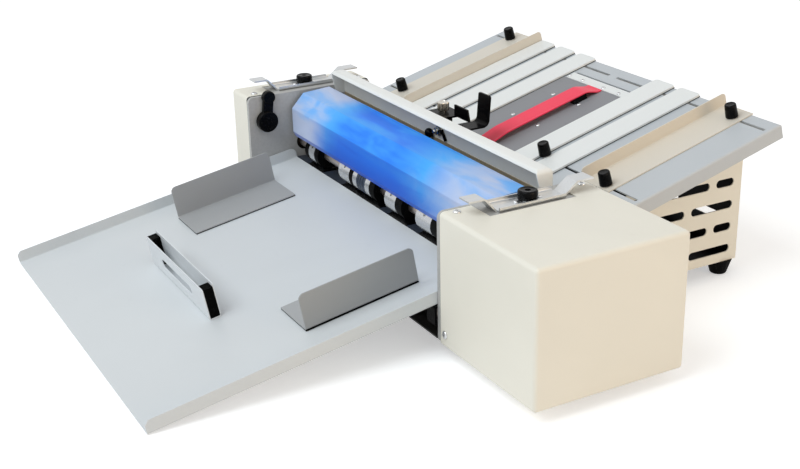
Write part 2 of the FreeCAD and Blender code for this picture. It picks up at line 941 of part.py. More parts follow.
def feed_window():
    """Cutter for the opening that the feed roller rises through."""
    half = feed_roller_width / 2 + feed_window_gap
    depth = feed_roller_radius - feed_roller_proud - table_sheet
    chord = math.sqrt(feed_roller_radius ** 2 - depth ** 2) + feed_window_gap
    return block(-half, half, feed_roller_at - chord, feed_roller_at + chord, -table_sheet - overrun,
                 feed_plate_sheet + overrun)


def feed_plate():
    """Dark plate in the middle of the table, round the feed roller's window."""
    left = feed_plate_offset - feed_plate_width / 2
    plate = block(left, left + feed_plate_width, -tongue_length, feed_plate_rear, 0, feed_plate_sheet)
    cutters = [feed_window()]
    for x, along, top in plate_screw_places():
        cutters.append(rod_z(x, along, -overrun, top + overrun, screw_shank_radius))
    return on_table(plate.cut(cutters))


def plate_end_bar():
    """Pale bar across the rear end of the feed plate."""
    left = end_bar_offset - end_bar_length / 2
    bar = block(left, left + end_bar_length, feed_plate_rear, feed_plate_rear + end_bar_width,
                0, end_bar_thickness)
    cutters = [rod_z(x, along, -overrun, top + overrun, screw_shank_radius)
               for x, along, top in plate_screw_places()]
    return on_table(bar.cut(cutters))


def lifting_ramp():
    """Bowed strip that lifts the middle of the sheets, both ends curved down to the feed plate."""
    low = feed_plate_sheet
    high = feed_plate_sheet + ramp_lift
    left = ramp_offset - ramp_width / 2
    path = [(ramp_front, low), (ramp_front + ramp_toe, low), (ramp_front + ramp_end_run, high),
            (ramp_rear - ramp_end_run, high), (ramp_rear - ramp_toe, low), (ramp_rear, low)]
    strip = bent_sheet_x(path, ramp_sheet, ramp_end_run / 2, left, left + ramp_width)
    return on_table(strip)


def ramp_block():
    """Black foot under the ramp's rear end."""
    left = ramp_offset + ramp_width / 2 - ramp_block_width
    foot = block(left, left + ramp_block_width, ramp_block_at - ramp_block_length / 2,
                 ramp_block_at + ramp_block_length / 2, feed_plate_sheet, feed_plate_sheet + ramp_lift)
    return on_table(foot)


def support_slats():
    """Five raised white slats that the paper slides on."""
    slats = []
    for x0, x1 in slat_spans:
        corners = [(x0, slat_front), (x1, slat_front), (x1, table_length), (x0, table_length)]
        slats.append(prism_z(corners, slat_bottom, slat_top, [slat_corner_radius] * 4))
    return on_table(group(slats))


def slat_magnets():
    """Black magnet strips between the slats and the table."""
    inset = slat_magnet_inset
    return on_table(group([block(x0 + inset, x1 - inset, slat_front + inset, table_length - inset,
                                 0, slat_magnet_thickness) for x0, x1 in slat_spans]))


# Side guides of the feed table and their screws

def feed_guide(face_x, base, front):
    """Right-hand guide: flat base on the table, upright flange on its inner side."""
    sheet = bent_sheet_y([(face_x + base, slide_gap), (face_x, slide_gap), (face_x, guide_height)],
                         -guide_sheet, guide_bend, front, table_length)
    top = edges_where(sheet, lambda c: near(c.z, guide_height) and not near(c.y, (front + table_length) / 2))
    return sheet.makeFillet(guide_corner_radius, top)


def guide_with_holes(face_x, base, front, screw):
    guide = feed_guide(face_x, base, front)
    for along in (front_slot_at, rear_slot_at):
        guide = guide.cut(rod_z(face_x + screw, along, 0, guide_height, thumb_shank_radius + running_gap))
    return guide


def right_feed_guide():
    return on_table(guide_with_holes(right_guide_x, right_guide_base, right_guide_front, right_guide_screw))


def left_feed_guide():
    guide = guide_with_holes(left_guide_x, left_guide_base, left_guide_front, left_guide_screw)
    return on_table(mirrored(guide))


def thumbscrew(seat):
    """Tapered black thumbscrew through a slot, with its nut under the table; seat is what it clamps."""
    knob = Part.makeCone(thumb_base_radius, thumb_top_radius, thumb_height, V(0, 0, thumb_washer))
    rim = edges_where(knob, lambda c: near(c.z, thumb_height + thumb_washer))
    knob = knob.makeFillet(thumb_edge, rim)
    washer = rod_z(0, 0, 0, thumb_washer, thumb_base_radius - thumb_edge)
    nut_top = -seat - table_sheet - 2 * slide_gap
    shank = rod_z(0, 0, nut_top - thumb_nut, thumb_washer, thumb_shank_radius)
    nut = rod_z(0, 0, nut_top - thumb_nut, nut_top, thumb_nut_radius)
    screw = join([knob, washer, shank, nut])
    screw.translate(V(0, 0, seat + slide_gap))
    return screw


def guide_thumbscrew(x, along):
    screw = thumbscrew(slide_gap + guide_sheet)
    screw.translate(V(x, along, 0))
    return on_table(screw)


def slat_thumbscrew():
    """Screw in the front slot that holds the ends of two slats."""
    screw = thumbscrew(slat_top)
    screw.translate(V(slat_screw_x, front_slot_at, 0))
    return on_table(screw)


# Hinged cover

def cover_path():
    return [(cover_lip_y, cover_lip_z), (cover_face_y, cover_face_bottom), (cover_face_y, cover_face_top),
            (cover_slope_y, cover_slope_z), (cover_back_y, cover_back_z), (cover_back_y, cover_back_bottom)]


def hinged_cover():
    """Folded sheet cover over the creasing shafts, with an end cheek and a hinge pin at each side."""
    skin = bent_sheet_x(cover_path(), -cover_sheet, cover_bend, -cover_half_width, cover_half_width)
    radii = [0] + [cover_bend + cover_sheet] * 4 + [0]
    cheek = prism_x(cover_path(), cover_half_width - cover_sheet, cover_half_width, radii)
    pin = rod_x(cover_half_width - cover_sheet, half_throat - slide_gap, hinge_y, hinge_z, hinge_pin_radius)
    return join([skin] + both_sides(cheek) + both_sides(pin))


# Shafts, rollers, gears and bearings

def spans_of(kind):
    return [(x0, x1) for name, x0, x1 in upper_roller_spans if name == kind]


def roller_x(x0, x1, z, radius):
    """Plain roller on a creasing shaft."""
    core = Part.makeCylinder(radius, x1 - x0, V(x0, shaft_y, z), V(1, 0, 0))
    return core.cut(rod_x(x0 - overrun, x1 + overrun, shaft_y, z, shaft_radius))


def ribbed_roller_x(x0, x1, z, radius, ribs):
    """Roller with square grooves, turned from one profile."""
    outline = [(x0, shaft_radius), (x0, radius)]
    pitch = (x1 - x0) / ribs
    for i in range(ribs - 1):
        edge = x0 + (i + 1) * pitch
        outline = outline + [(edge - roller_groove, radius), (edge - roller_groove, radius - roller_groove),
                             (edge, radius - roller_groove), (edge, radius)]
    outline = outline + [(x1, radius), (x1, shaft_radius)]
    points = [V(x, shaft_y, z + r) for x, r in outline]
    face = Part.Face(Part.makePolygon(points + [points[0]]))
    return face.revolve(V(0, shaft_y, z), V(1, 0, 0), 360)


def upper_shaft():
    return rod_x(-half_throat - bearing_flange, gear_left + gear_width, shaft_y, upper_shaft_z, shaft_radius)


def upper_collars():
    return group([roller_x(x0, x1, upper_shaft_z, roller_radius) for x0, x1 in spans_of("collar")])


def upper_rings():
    return group([roller_x(x0, x1, upper_shaft_z, roller_radius) for x0, x1 in spans_of("ring")])


def creasing_ring():
    """Ribbed creasing tool on the upper shaft."""
    (x0, x1), = spans_of("crease")
    return ribbed_roller_x(x0, x1, upper_shaft_z, roller_radius, crease_ribs)


def lower_shaft():
    return rod_x(-half_throat - bearing_flange, pulley_right, shaft_y, lower_shaft_z, shaft_radius)


def lower_rollers():
    """Plain rollers of the lower shaft and the grooved die under the creasing ring."""
    rollers = [roller_x(x0, x1, lower_shaft_z, roller_radius) for x0, x1 in lower_roller_spans]
    rollers.append(ribbed_roller_x(die_span[0], die_span[1], lower_shaft_z, roller_radius, crease_ribs))
    return group(rollers)


def involute_point(base, angle):
    """Point of an involute of a circle, unrolled by the angle."""
    x = base * (math.cos(angle) + angle * math.sin(angle))
    y = base * (math.sin(angle) - angle * math.cos(angle))
    return x, y


def gear_outline(turned):
    """Y, z outline of a spur gear about 0; turned by half a tooth it meshes with one that isn't."""
    pitch_radius = gear_module * gear_teeth / 2
    base = pitch_radius * math.cos(math.radians(gear_pressure_angle))
    tip = pitch_radius + gear_module - gear_tip_cut
    root = pitch_radius - gear_root_share * gear_module
    involute = math.tan(math.radians(gear_pressure_angle)) - math.radians(gear_pressure_angle)
    half_tooth = math.pi / (2 * gear_teeth) - gear_backlash / (2 * pitch_radius) + involute
    flank = []
    last = math.sqrt((tip / base) ** 2 - 1)
    for i in range(gear_flank_steps + 1):
        x, y = involute_point(base, last * i / gear_flank_steps)
        flank.append((math.hypot(x, y), half_tooth - math.atan2(y, x)))
    outline = []
    for tooth in range(gear_teeth):
        centre = 2 * math.pi * (tooth + (0.5 if turned else 0)) / gear_teeth
        polar = [(root, half_tooth)] + flank
        for radius, offset in polar:
            outline.append((radius, centre - offset))
        for radius, offset in polar[::-1]:
            outline.append((radius, centre + offset))
    return [(radius * math.cos(angle), radius * math.sin(angle)) for radius, angle in outline]


def gear(z, up, turned):
    """Spur gear on a creasing shaft; up is 1 where its meshing side faces up, -1 where down."""
    outline = [(shaft_y + v, z + up * u) for u, v in gear_outline(turned)]
    wheel = prism_x(outline, gear_left, gear_left + gear_width)
    return wheel.cut(rod_x(gear_left - overrun, gear_left + gear_width + overrun, shaft_y, z, shaft_radius))


def upper_gear():
    return gear(upper_shaft_z, -1, False)


def lower_gear():
    return gear(lower_shaft_z, 1, True)


def pulley(y, z, radius, bore):
    """Flanged belt pulley."""
    wheel = join([
        rod_x(pulley_left, pulley_right, y, z, radius),
        rod_x(pulley_left, pulley_left + pulley_flange, y, z, radius + pulley_flange_lift),
        rod_x(pulley_right - pulley_flange, pulley_right, y, z, radius + pulley_flange_lift),
    ])
    return wheel.cut(rod_x(pulley_left - overrun, pulley_right + overrun, y, z, bore))


def lower_pulley():
    return pulley(shaft_y, lower_shaft_z, lower_pulley_radius, shaft_radius)


def feed_pulley():
    return pulley(feed_shaft.y, feed_shaft.z, feed_pulley_radius, shaft_radius)


def motor_pulley():
    return pulley(motor_y, motor_z, motor_pulley_radius, motor_shaft_radius)


def loop_solid(circles, extra, x0, x1):
    """Solid inside a taut loop round the circles, each given as y, z and radius."""
    pieces = [rod_x(x0, x1, y, z, radius + extra) for y, z, radius in circles]
    centres = [(y, z) for y, z, radius in circles]
    pieces.append(prism_x(centres, x0, x1))
    for i in range(len(circles)):
        ya, za, ra = circles[i - 1]
        yb, zb, rb = circles[i]
        run = math.hypot(yb - ya, zb - za)
        way = math.atan2(zb - za, yb - ya)
        for side in (-1, 1):
            lean = way + side * math.acos((ra - rb) / run)
            out = (math.cos(lean), math.sin(lean))
            corners = [(ya, za), (yb, zb), (yb + out[0] * (rb + extra), zb + out[1] * (rb + extra)),
                       (ya + out[0] * (ra + extra), za + out[1] * (ra + extra))]
            pieces.append(prism_x(corners, x0, x1))
    return join(pieces)


def drive_belt():
    """Belt from the motor to the lower creasing shaft and the feed shaft."""
    circles = [(shaft_y, lower_shaft_z, lower_pulley_radius), (motor_y, motor_z, motor_pulley_radius),
               (feed_shaft.y, feed_shaft.z, feed_pulley_radius)]
    middle = (pulley_left + pulley_right) / 2
    x0 = middle - belt_width / 2
    x1 = middle + belt_width / 2
    outer = loop_solid(circles, belt_gap + belt_thickness, x0, x1)
    return outer.cut(loop_solid(circles, belt_gap, x0 - overrun, x1 + overrun))


def feed_shaft_rod():
    return rod_x(-half_throat - bearing_flange, pulley_right, feed_shaft.y, feed_shaft.z, shaft_radius)


def feed_roller():
    half = feed_roller_width / 2
    roller = rod_x(-half, half, feed_shaft.y, feed_shaft.z, feed_roller_radius)
    return roller.cut(rod_x(-half - overrun, half + overrun, feed_shaft.y, feed_shaft.z, shaft_radius))


def shaft_bearings():
    """Flanged bearings of the three shafts, in both side plates."""
    bearings = []
    for y, z in shaft_places():
        body = join([
            rod_x(plate_in, half_throat, y, z, bearing_radius),
            rod_x(half_throat, half_throat + bearing_flange, y, z, bearing_flange_radius),
        ])
        body = body.cut(rod_x(plate_in - overrun, half_throat + bearing_flange + overrun, y, z,
                              shaft_radius + running_gap))
        bearings = bearings + both_sides(body)
    return group(bearings)


def drive_motor():
    """Motor with its shaft towards the side plate, on a plate held off by three posts."""
    plate_left = pulley_right + motor_plate_clearance
    plate_right = plate_left + motor_plate_thickness
    half = motor_plate_half
    plate = block(plate_left, plate_right, motor_y - half, motor_y + half, motor_z - half, motor_z + half)
    middle = (plate_left + plate_right) / 2
    plate = plate.makeFillet(motor_post_inset, edges_where(plate, lambda c: near(c.x, middle)))
    can = rod_x(plate_right, plate_right + motor_length, motor_y, motor_z, motor_radius)
    can = can.makeFillet(motor_post_inset, edges_where(can, lambda c: near(c.x, plate_right + motor_length)))
    spindle = rod_x(pulley_left, plate_right, motor_y, motor_z, motor_shaft_radius - running_gap)
    plate = plate.cut(rod_x(plate_left - overrun, plate_right + overrun, motor_y, motor_z,
                            motor_shaft_radius))
    posts = []
    reach = half - motor_post_inset
    for side, rise in ((-1, -1), (-1, 1), (1, -1)):
        posts.append(rod_x(half_throat, plate_left, motor_y + side * reach, motor_z + rise * reach,
                           motor_post_radius))
    return join([plate, can, spindle] + posts)


# Paper guides

def paper_guides():
    """Comb behind the tray, between the lower rollers, and the slope that leads the paper to them."""
    comb = block(-plate_in, plate_in, comb_front, comb_rear, tray_inner_z - comb_sheet, tray_inner_z)
    spans = lower_roller_spans + (die_span,)
    cutters = [block(x0 - comb_side_gap, x1 + comb_side_gap, comb_front - overrun, comb_finger_root,
                     tray_inner_z - comb_sheet - overrun, tray_inner_z + overrun) for x0, x1 in spans]
    path = [(infeed_low_y, infeed_low_z), (infeed_top_y, infeed_top_z)]
    outline, radii = bent_outline(path, -infeed_sheet, 0)
    return group([comb.cut(cutters), prism_x(outline, -plate_in, plate_in, radii)])


def upper_guide():
    """Slotted steel sheet that hangs from the beam's web over the infeed guide."""
    back = beam_rear - beam_sheet
    path = [(upper_guide_low_y, upper_guide_low_z), (back, beam_web_bottom), (back, upper_guide_top_z)]
    sheet = bent_sheet_x(path, upper_guide_sheet, upper_guide_sheet, -plate_in + guide_end_gap,
                         plate_in - guide_end_gap)
    run = back - upper_guide_low_y
    first = -(upper_guide_slot_count - 1) * upper_guide_slot_pitch / 2
    y0, y1 = (upper_guide_low_y + run * share for share in upper_guide_slot_shares)
    cutters = []
    for i in range(upper_guide_slot_count):
        x = first + i * upper_guide_slot_pitch
        cutters.append(block(x - upper_guide_slot_length / 2, x + upper_guide_slot_length / 2, y0, y1,
                             upper_guide_low_z, beam_web_bottom))
    return sheet.cut(cutters)


# Separator, its lever and its knurled screw

def separator_bracket():
    """Black bracket behind the beam that carries the separator pad, the lever and the knurled screw."""
    t = separator_sheet
    foot = block(separator_left, separator_back_right, beam_rear, beam_rear + t,
                 separator_back_plate_bottom, separator_plate_z + t)
    shelf = block(separator_left, separator_right, beam_rear, separator_rear_y, separator_plate_z,
                  separator_plate_z + t)
    fin_corners = [(separator_fin_left, separator_plate_z), (separator_fin_right + t, separator_plate_z),
                   (separator_fin_right - t, separator_fin_top), (separator_fin_left, separator_fin_top)]
    fin = prism_y(fin_corners, separator_fin_y, separator_fin_y + t)
    pad_top = table_point(0, feed_roller_at, feed_roller_proud)
    leg = block(separator_leg_left, separator_leg_right, separator_leg_front,
                separator_leg_front + separator_leg_depth, pad_top.z + pad_gap, separator_plate_z)
    leg = leg.cut(rod_x(separator_leg_left - overrun, separator_leg_right + overrun,
                        feed_shaft.y, feed_shaft.z, feed_roller_radius + pad_gap))
    left_ear = lever_left - lever_ear_gap - lever_ear_thickness
    right_ear = lever_left + lever_width + lever_ear_gap
    ears = []
    for x in (left_ear, right_ear):
        ears.append(block(x, x + lever_ear_thickness, beam_rear + t, lever_pivot_y + lever_eye_radius,
                          lever_pivot_z - lever_eye_radius, lever_pivot_z + lever_eye_radius))
    pin = rod_x(left_ear, right_ear + lever_ear_thickness, lever_pivot_y, lever_pivot_z, lever_pin_radius)
    bracket = join([foot, shelf, fin, leg, pin] + ears)
    return bracket.cut(rod_z(knurl_x, knurl_y, separator_plate_z - overrun, separator_plate_z + t + overrun,
                             knurl_shank_radius + running_gap))


def separator_lever():
    """Black lever: an eye on the pivot, a flat arm to the rear and an upright finger tab."""
    path = [(lever_pivot_y, lever_z), (lever_rear_y, lever_z), (lever_rear_y, lever_top_z)]
    x1 = lever_left + lever_width
    arm = bent_sheet_x(path, lever_sheet, lever_bend, lever_left, x1)
    corners = edges_where(arm, lambda c: near(c.z, lever_top_z) and (near(c.x, lever_left) or near(c.x, x1)))
    arm = arm.makeFillet(lever_corner_radius, corners)
    eye = rod_x(lever_left, x1, lever_pivot_y, lever_pivot_z, lever_eye_radius)
    lever = join([arm, eye])
    return lever.cut(rod_x(lever_left - overrun, x1 + overrun, lever_pivot_y, lever_pivot_z,
                           lever_pin_radius + running_gap))


def knurled_screw():
    """Nickel thumbscrew of the separator, with flutes round its head."""
    seat = separator_plate_z + separator_sheet + slide_gap
    head = rod_z(knurl_x, knurl_y, seat + knurl_collar, seat + knurl_collar + knurl_height, knurl_radius)
    flutes = []
    for i in range(knurl_flutes):
        angle = 2 * math.pi * i / knurl_flutes
        x = knurl_x + knurl_radius * math.cos(angle)
        y = knurl_y + knurl_radius * math.sin(angle)
        flutes.append(rod_z(x, y, seat, seat + knurl_collar + knurl_height + overrun, knurl_flute_radius))
    head = head.cut(flutes)
    collar = rod_z(knurl_x, knurl_y, seat, seat + knurl_collar, knurl_collar_radius)
    shank = rod_z(knurl_x, knurl_y, seat - knurl_shank_length, seat + knurl_collar, knurl_shank_radius)
    return join([head, collar, shank])


# Top channels and knobs

def top_channel():
    """Bent channel over the drive side's plate, with a raised tab at each end."""
    path = [(front_tab_end, front_tab_z), (front_tab_bend, front_tab_z), (channel_front, plate_top),
            (channel_rear, plate_top), (rear_tab_bend, rear_tab_z), (rear_tab_end, rear_tab_z)]
    tab_left = knob_x - channel_tab_width / 2
    strip = bent_sheet_x(path, channel_sheet, channel_bend, tab_left, tab_left + channel_tab_width)
    y0 = channel_front + channel_bend
    y1 = channel_rear - channel_bend
    floor = bent_sheet_y([(channel_left, plate_top + channel_lip), (channel_left, plate_top),
                          (channel_right, plate_top), (channel_right, plate_top + channel_lip)],
                         channel_sheet, channel_bend, y0, y1)
    channel = join([strip, floor])
    cutters = [rod_z(knob_x, knob_y, plate_top - overrun, channel_floor_top + overrun,
                     knob_shank_radius + running_gap)]
    for y in (knob_y - channel_screw_spread, knob_y + channel_screw_spread):
        cutters.append(rod_z(knob_x, y, plate_top - overrun, channel_floor_top + overrun, screw_shank_radius))
    return channel.cut(cutters)


def top_channels():
    return group(both_sides(top_channel()))


def channel_knob():
    """Black round knob with a hexagon socket, on a washer, its screw going down into the side plate."""
    seat = channel_floor_top + slide_gap
    low = seat + knob_washer
    knob = rod_z(knob_x, knob_y, low, low + knob_height, knob_radius)
    knob = knob.makeFillet(knob_edge, edges_where(knob, lambda c: near(c.z, low + knob_height)))
    corners = []
    for i in range(6):
        angle = math.pi * i / 3
        corners.append((knob_x + knob_socket_radius * math.cos(angle),
                        knob_y + knob_socket_radius * math.sin(angle)))
    socket = prism_z(corners, low + knob_height - knob_socket_depth, low + knob_height + overrun)
    washer = rod_z(knob_x, knob_y, seat, low, knob_washer_radius)
    shank = rod_z(knob_x, knob_y, seat - knob_shank_length, low, knob_shank_radius)
    return join([knob.cut(socket), washer, shank])


def far_channel_knob():
    return mirrored(channel_knob())


# Crank

def crank_lever():
    """Black crank on the far side plate: a broad hub on its axle, a neck and a smaller end boss."""
    x0 = -plate_in + crank_plate_gap
    boss_y = crank_y + crank_length * math.sin(math.radians(crank_lean))
    boss_z = crank_z + crank_length * math.cos(math.radians(crank_lean))
    hub = rod_x(x0, x0 + crank_hub_thickness, crank_y, crank_z, crank_hub_radius)
    hub = hub.makeFillet(crank_edge, edges_where(hub, lambda c: near(c.x, x0 + crank_hub_thickness)))
    boss = rod_x(x0, x0 + crank_boss_thickness, boss_y, boss_z, crank_boss_radius)
    boss = boss.makeFillet(crank_edge, edges_where(boss, lambda c: near(c.x, x0 + crank_boss_thickness)))
    neck = block(x0, x0 + crank_arm_thickness, -crank_arm_width / 2, crank_arm_width / 2, 0, crank_length)
    neck.rotate(V(0, 0, 0), V(1, 0, 0), -crank_lean)
    neck.translate(V(0, crank_y, crank_z))
    axle = rod_x(-half_throat, x0 + crank_arm_thickness, crank_y, crank_z, crank_axle_radius)
    return join([hub, boss, neck, axle])


# Delivery tray and what lies on it

def delivery_tray():
    """Sheet tray with an upright rail along each side, chamfered outside and rounded inside."""
    half = tray_half_width
    top = tray_rail - tray_sheet
    path = [(-half, top), (-half, -tray_sheet), (half, -tray_sheet), (half, top)]
    tray = bent_sheet_y(path, tray_sheet, tray_bend, -tray_length, 0)
    outer = edges_where(tray, lambda c: near(c.z, top) and near(c.y, -tray_length))
    tray = tray.makeChamfer(tray_rail_chamfer, outer)
    inner = edges_where(tray, lambda c: near(c.z, top) and near(c.y, 0))
    return on_tray(tray.makeFillet(tray_rail_round, inner))


def tray_under(y):
    """Height of the tray's underside."""
    return tray_inner_z + (y - tray_inner_y) * math.tan(tray_slope) - tray_sheet / math.cos(tray_slope)


def tray_brackets():
    """Black brackets on the side plates, under the tray's inner end."""
    t = bracket_sheet
    y0 = bracket_front
    path = [(y0, tray_under(y0) - bracket_drop), (y0, tray_under(y0)),
            (bracket_rear, tray_under(bracket_rear))]
    bracket = bent_sheet_x(path, -t, tray_bend, plate_in - bracket_width, plate_in)
    return group(both_sides(bracket))


def delivery_guide(face_x):
    """Right-hand delivery guide: upright flange outside, base towards the middle."""
    top = magnet_sheet + slide_gap
    path = [(face_x - delivery_base, top), (face_x, top), (face_x, delivery_height)]
    front = -delivery_near - delivery_length
    sheet = bent_sheet_y(path, delivery_sheet, delivery_bend, front, -delivery_near)
    corners = edges_where(sheet, lambda c: near(c.z, delivery_height)
                          and (near(c.y, -delivery_near) or near(c.y, front)))
    return sheet.makeFillet(delivery_corner_radius, corners)


def delivery_magnet(face_x):
    """Black magnet sheet under a delivery guide's base."""
    return block(face_x - delivery_base, face_x, -delivery_near - delivery_length, -delivery_near,
                 slide_gap, slide_gap + magnet_sheet)


def right_delivery_guide():
    return on_tray(delivery_guide(right_delivery_x))


def right_delivery_magnet():
    return on_tray(delivery_magnet(right_delivery_x))


def left_delivery_guide():
    return on_tray(mirrored(delivery_guide(left_delivery_x)))


def left_delivery_magnet():
    return on_tray(mirrored(delivery_magnet(left_delivery_x)))


def end_stop():
    """Trough of thin sheet that stops the sheets, with a finger slot in its outer wall."""
    y1 = -stop_near
    y0 = y1 - stop_depth
    low = slide_gap
    outer_top = low + stop_outer_height
    inner_top = low + stop_inner_height
    x0 = stop_offset - stop_length / 2
    x1 = stop_offset + stop_length / 2
    path = [(y0, outer_top), (y0, low), (y1, low), (y1, inner_top)]
    trough = bent_sheet_x(path, stop_sheet, stop_sheet, x0, x1)
    corners = edges_where(trough, lambda c: (near(c.z, outer_top) or near(c.z, inner_top))
                          and (near(c.x, x0) or near(c.x, x1)))
    trough = trough.makeFillet(stop_corner_radius, corners)
    slot = obround_y(y0 - overrun, y0 + stop_sheet + overrun, stop_offset - stop_slot_length / 2,
                     stop_offset + stop_slot_length / 2, stop_slot_centre, stop_slot_height)
    return on_tray(trough.cut(slot))


def stop_magnets():
    """Black magnet blocks in both ends of the stop."""
    y0 = -stop_near - stop_depth + stop_sheet
    y1 = -stop_near - stop_sheet
    low = slide_gap + stop_sheet
    blocks = []
    for x0 in (stop_offset - stop_length / 2, stop_offset + stop_length / 2 - stop_magnet_length):
        magnet = block(x0, x0 + stop_magnet_length, y0, y1, low, low + stop_magnet_height)
        lower = edges_where(magnet, lambda c: near(c.z, low) and (near(c.y, y0) or near(c.y, y1)))
        blocks.append(magnet.makeFillet(stop_sheet, lower))
    return on_tray(group(blocks))


# Power inlet and switch

def inlet_outline(grow):
    half_w = inlet_width / 2 + grow
    half_h = inlet_height / 2 + grow
    return [(inlet_x - half_w, inlet_z - half_h), (inlet_x + half_w, inlet_z - half_h),
            (inlet_x + half_w, inlet_z + half_h), (inlet_x - half_w, inlet_z + half_h)]


def power_inlet():
    """Mains inlet with a pocket for its rocker switch, set in the rear wall."""
    face = inlet_face
    flange = prism_y(inlet_outline(inlet_flange_rim), casing_depth, face, [inlet_flange_rim] * 4)
    body = prism_y(inlet_outline(0), casing_depth - inlet_depth, casing_depth)
    half_w = socket_width / 2
    half_h = socket_height / 2
    corners = [(inlet_x - half_w, socket_z - half_h), (inlet_x + half_w, socket_z - half_h),
               (inlet_x + half_w, socket_z + half_h), (inlet_x - half_w, socket_z + half_h)]
    cut_corner = socket_height * socket_corner_share
    socket = prism_y(corners, face - socket_depth, face + overrun, [0, 0, cut_corner, cut_corner])
    pocket = block(inlet_x - rocker_width / 2 - rocker_gap, inlet_x + rocker_width / 2 + rocker_gap,
                   face - rocker_pocket_depth, face + overrun,
                   rocker_z - rocker_height / 2 - rocker_gap, rocker_z + rocker_height / 2 + rocker_gap)
    return join([flange, body]).cut([socket, pocket, rocker_pivot(slide_gap, running_gap)])


def rocker_pivot(extra_reach, extra_radius):
    """Axle of the rocker, or its bore with a little extra at the ends and round it."""
    reach = rocker_width / 2 + rocker_gap + rocker_pivot_reach + extra_reach
    return rod_x(inlet_x - reach, inlet_x + reach, inlet_face - rocker_pivot_depth, rocker_z,
                 rocker_pivot_radius + extra_radius)


def power_switch():
    """Rocker that tips about an axle across its middle."""
    face = inlet_face
    half_h = rocker_height / 2
    dip = half_h * math.tan(math.radians(rocker_tilt))
    back = face - rocker_thickness
    outline = [(back, rocker_z - half_h), (face + dip, rocker_z - half_h), (face, rocker_z),
               (face + dip, rocker_z + half_h), (back, rocker_z + half_h)]
    rocker = prism_x(outline, inlet_x - rocker_width / 2, inlet_x + rocker_width / 2)
    return join([rocker, rocker_pivot(0, 0)])


NODES = {
    "drive_side_plate": side_plate,
    "far_side_plate": far_side_plate,
    "drive_casing": drive_casing,
    "far_casing": far_casing,
    "machine_screws": machine_screws,
    "rubber_feet": rubber_feet,
    "side_panels": side_panels,
    "base_tray": base_tray,
    "tie_rods": tie_rods,
    "cross_beam": cross_beam,
    "feed_table": feed_table,
    "feed_plate": feed_plate,
    "plate_end_bar": plate_end_bar,
    "lifting_ramp": lifting_ramp,
    "ramp_block": ramp_block,
    "support_slats": support_slats,
    "slat_magnets": slat_magnets,
    "slat_thumbscrew": slat_thumbscrew,
    "right_feed_guide": right_feed_guide,
    "right_front_thumbscrew": lambda: guide_thumbscrew(right_guide_x + right_guide_screw, front_slot_at),
    "right_rear_thumbscrew": lambda: guide_thumbscrew(right_guide_x + right_guide_screw, rear_slot_at),
    "left_feed_guide": left_feed_guide,
    "left_front_thumbscrew": lambda: guide_thumbscrew(-left_guide_x - left_guide_screw, front_slot_at),
    "left_rear_thumbscrew": lambda: guide_thumbscrew(-left_guide_x - left_guide_screw, rear_slot_at),
    "hinged_cover": hinged_cover,
    "upper_shaft": upper_shaft,
    "upper_collars": upper_collars,
    "upper_rings": upper_rings,
    "creasing_ring": creasing_ring,
    "upper_gear": upper_gear,
    "lower_shaft": lower_shaft,
    "lower_rollers": lower_rollers,
    "lower_gear": lower_gear,
    "lower_pulley": lower_pulley,
    "feed_shaft": feed_shaft_rod,
    "feed_roller": feed_roller,
    "feed_pulley": feed_pulley,
    "motor_pulley": motor_pulley,
    "drive_belt": drive_belt,
    "drive_motor": drive_motor,
    "shaft_bearings": shaft_bearings,
    "paper_guides": paper_guides,
    "upper_guide": upper_guide,
    "separator_bracket": separator_bracket,
    "separator_lever": separator_lever,
    "knurled_screw": knurled_screw,
    "top_channels": top_channels,
    "drive_channel_knob": channel_knob,
    "far_channel_knob": far_channel_knob,
    "crank_lever": crank_lever,
    "delivery_tray": delivery_tray,
    "tray_brackets": tray_brackets,
    "right_delivery_guide": right_delivery_guide,
    "right_delivery_magnet": right_delivery_magnet,
    "left_delivery_guide": left_delivery_guide,
    "left_delivery_magnet": left_delivery_magnet,
    "end_stop": end_stop,
    "stop_magnets": stop_magnets,
    "power_inlet": power_inlet,
    "power_switch": power_switch,
}

os.makedirs("parts", exist_ok=True)
for name, make in NODES.items():
    shape = make()
    shape.translate(V(-origin_x, -origin_y, 0))
    shape.exportStep("parts/" + name + ".step")
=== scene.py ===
import math

import bpy
from bpy.props import FloatProperty, FloatVectorProperty, IntProperty, PointerProperty
from mathutils import Matrix, Vector


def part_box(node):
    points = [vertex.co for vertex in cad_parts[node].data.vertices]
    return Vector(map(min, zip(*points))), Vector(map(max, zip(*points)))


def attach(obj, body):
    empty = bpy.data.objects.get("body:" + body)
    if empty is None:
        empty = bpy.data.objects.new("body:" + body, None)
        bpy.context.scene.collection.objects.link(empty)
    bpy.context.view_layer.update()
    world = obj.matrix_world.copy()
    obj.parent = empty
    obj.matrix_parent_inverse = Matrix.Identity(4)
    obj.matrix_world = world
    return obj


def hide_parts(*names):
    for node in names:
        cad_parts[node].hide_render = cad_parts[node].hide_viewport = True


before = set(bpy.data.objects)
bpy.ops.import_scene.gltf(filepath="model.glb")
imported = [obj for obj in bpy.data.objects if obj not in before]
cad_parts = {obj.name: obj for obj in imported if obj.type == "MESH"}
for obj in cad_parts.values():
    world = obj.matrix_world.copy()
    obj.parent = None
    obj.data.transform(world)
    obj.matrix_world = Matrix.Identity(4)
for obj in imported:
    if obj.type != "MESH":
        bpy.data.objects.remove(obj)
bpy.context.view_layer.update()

bl_info = {
    "name": "Paper Creasing Machine",
    "version": (1, 0, 0),
    "blender": (4, 5, 0),
    "location": "View3D > Sidebar > Creaser",
    "description": "Dresses the desktop paper creasing machine and sets up its stage",
    "category": "Object",
}

MM = 0.001
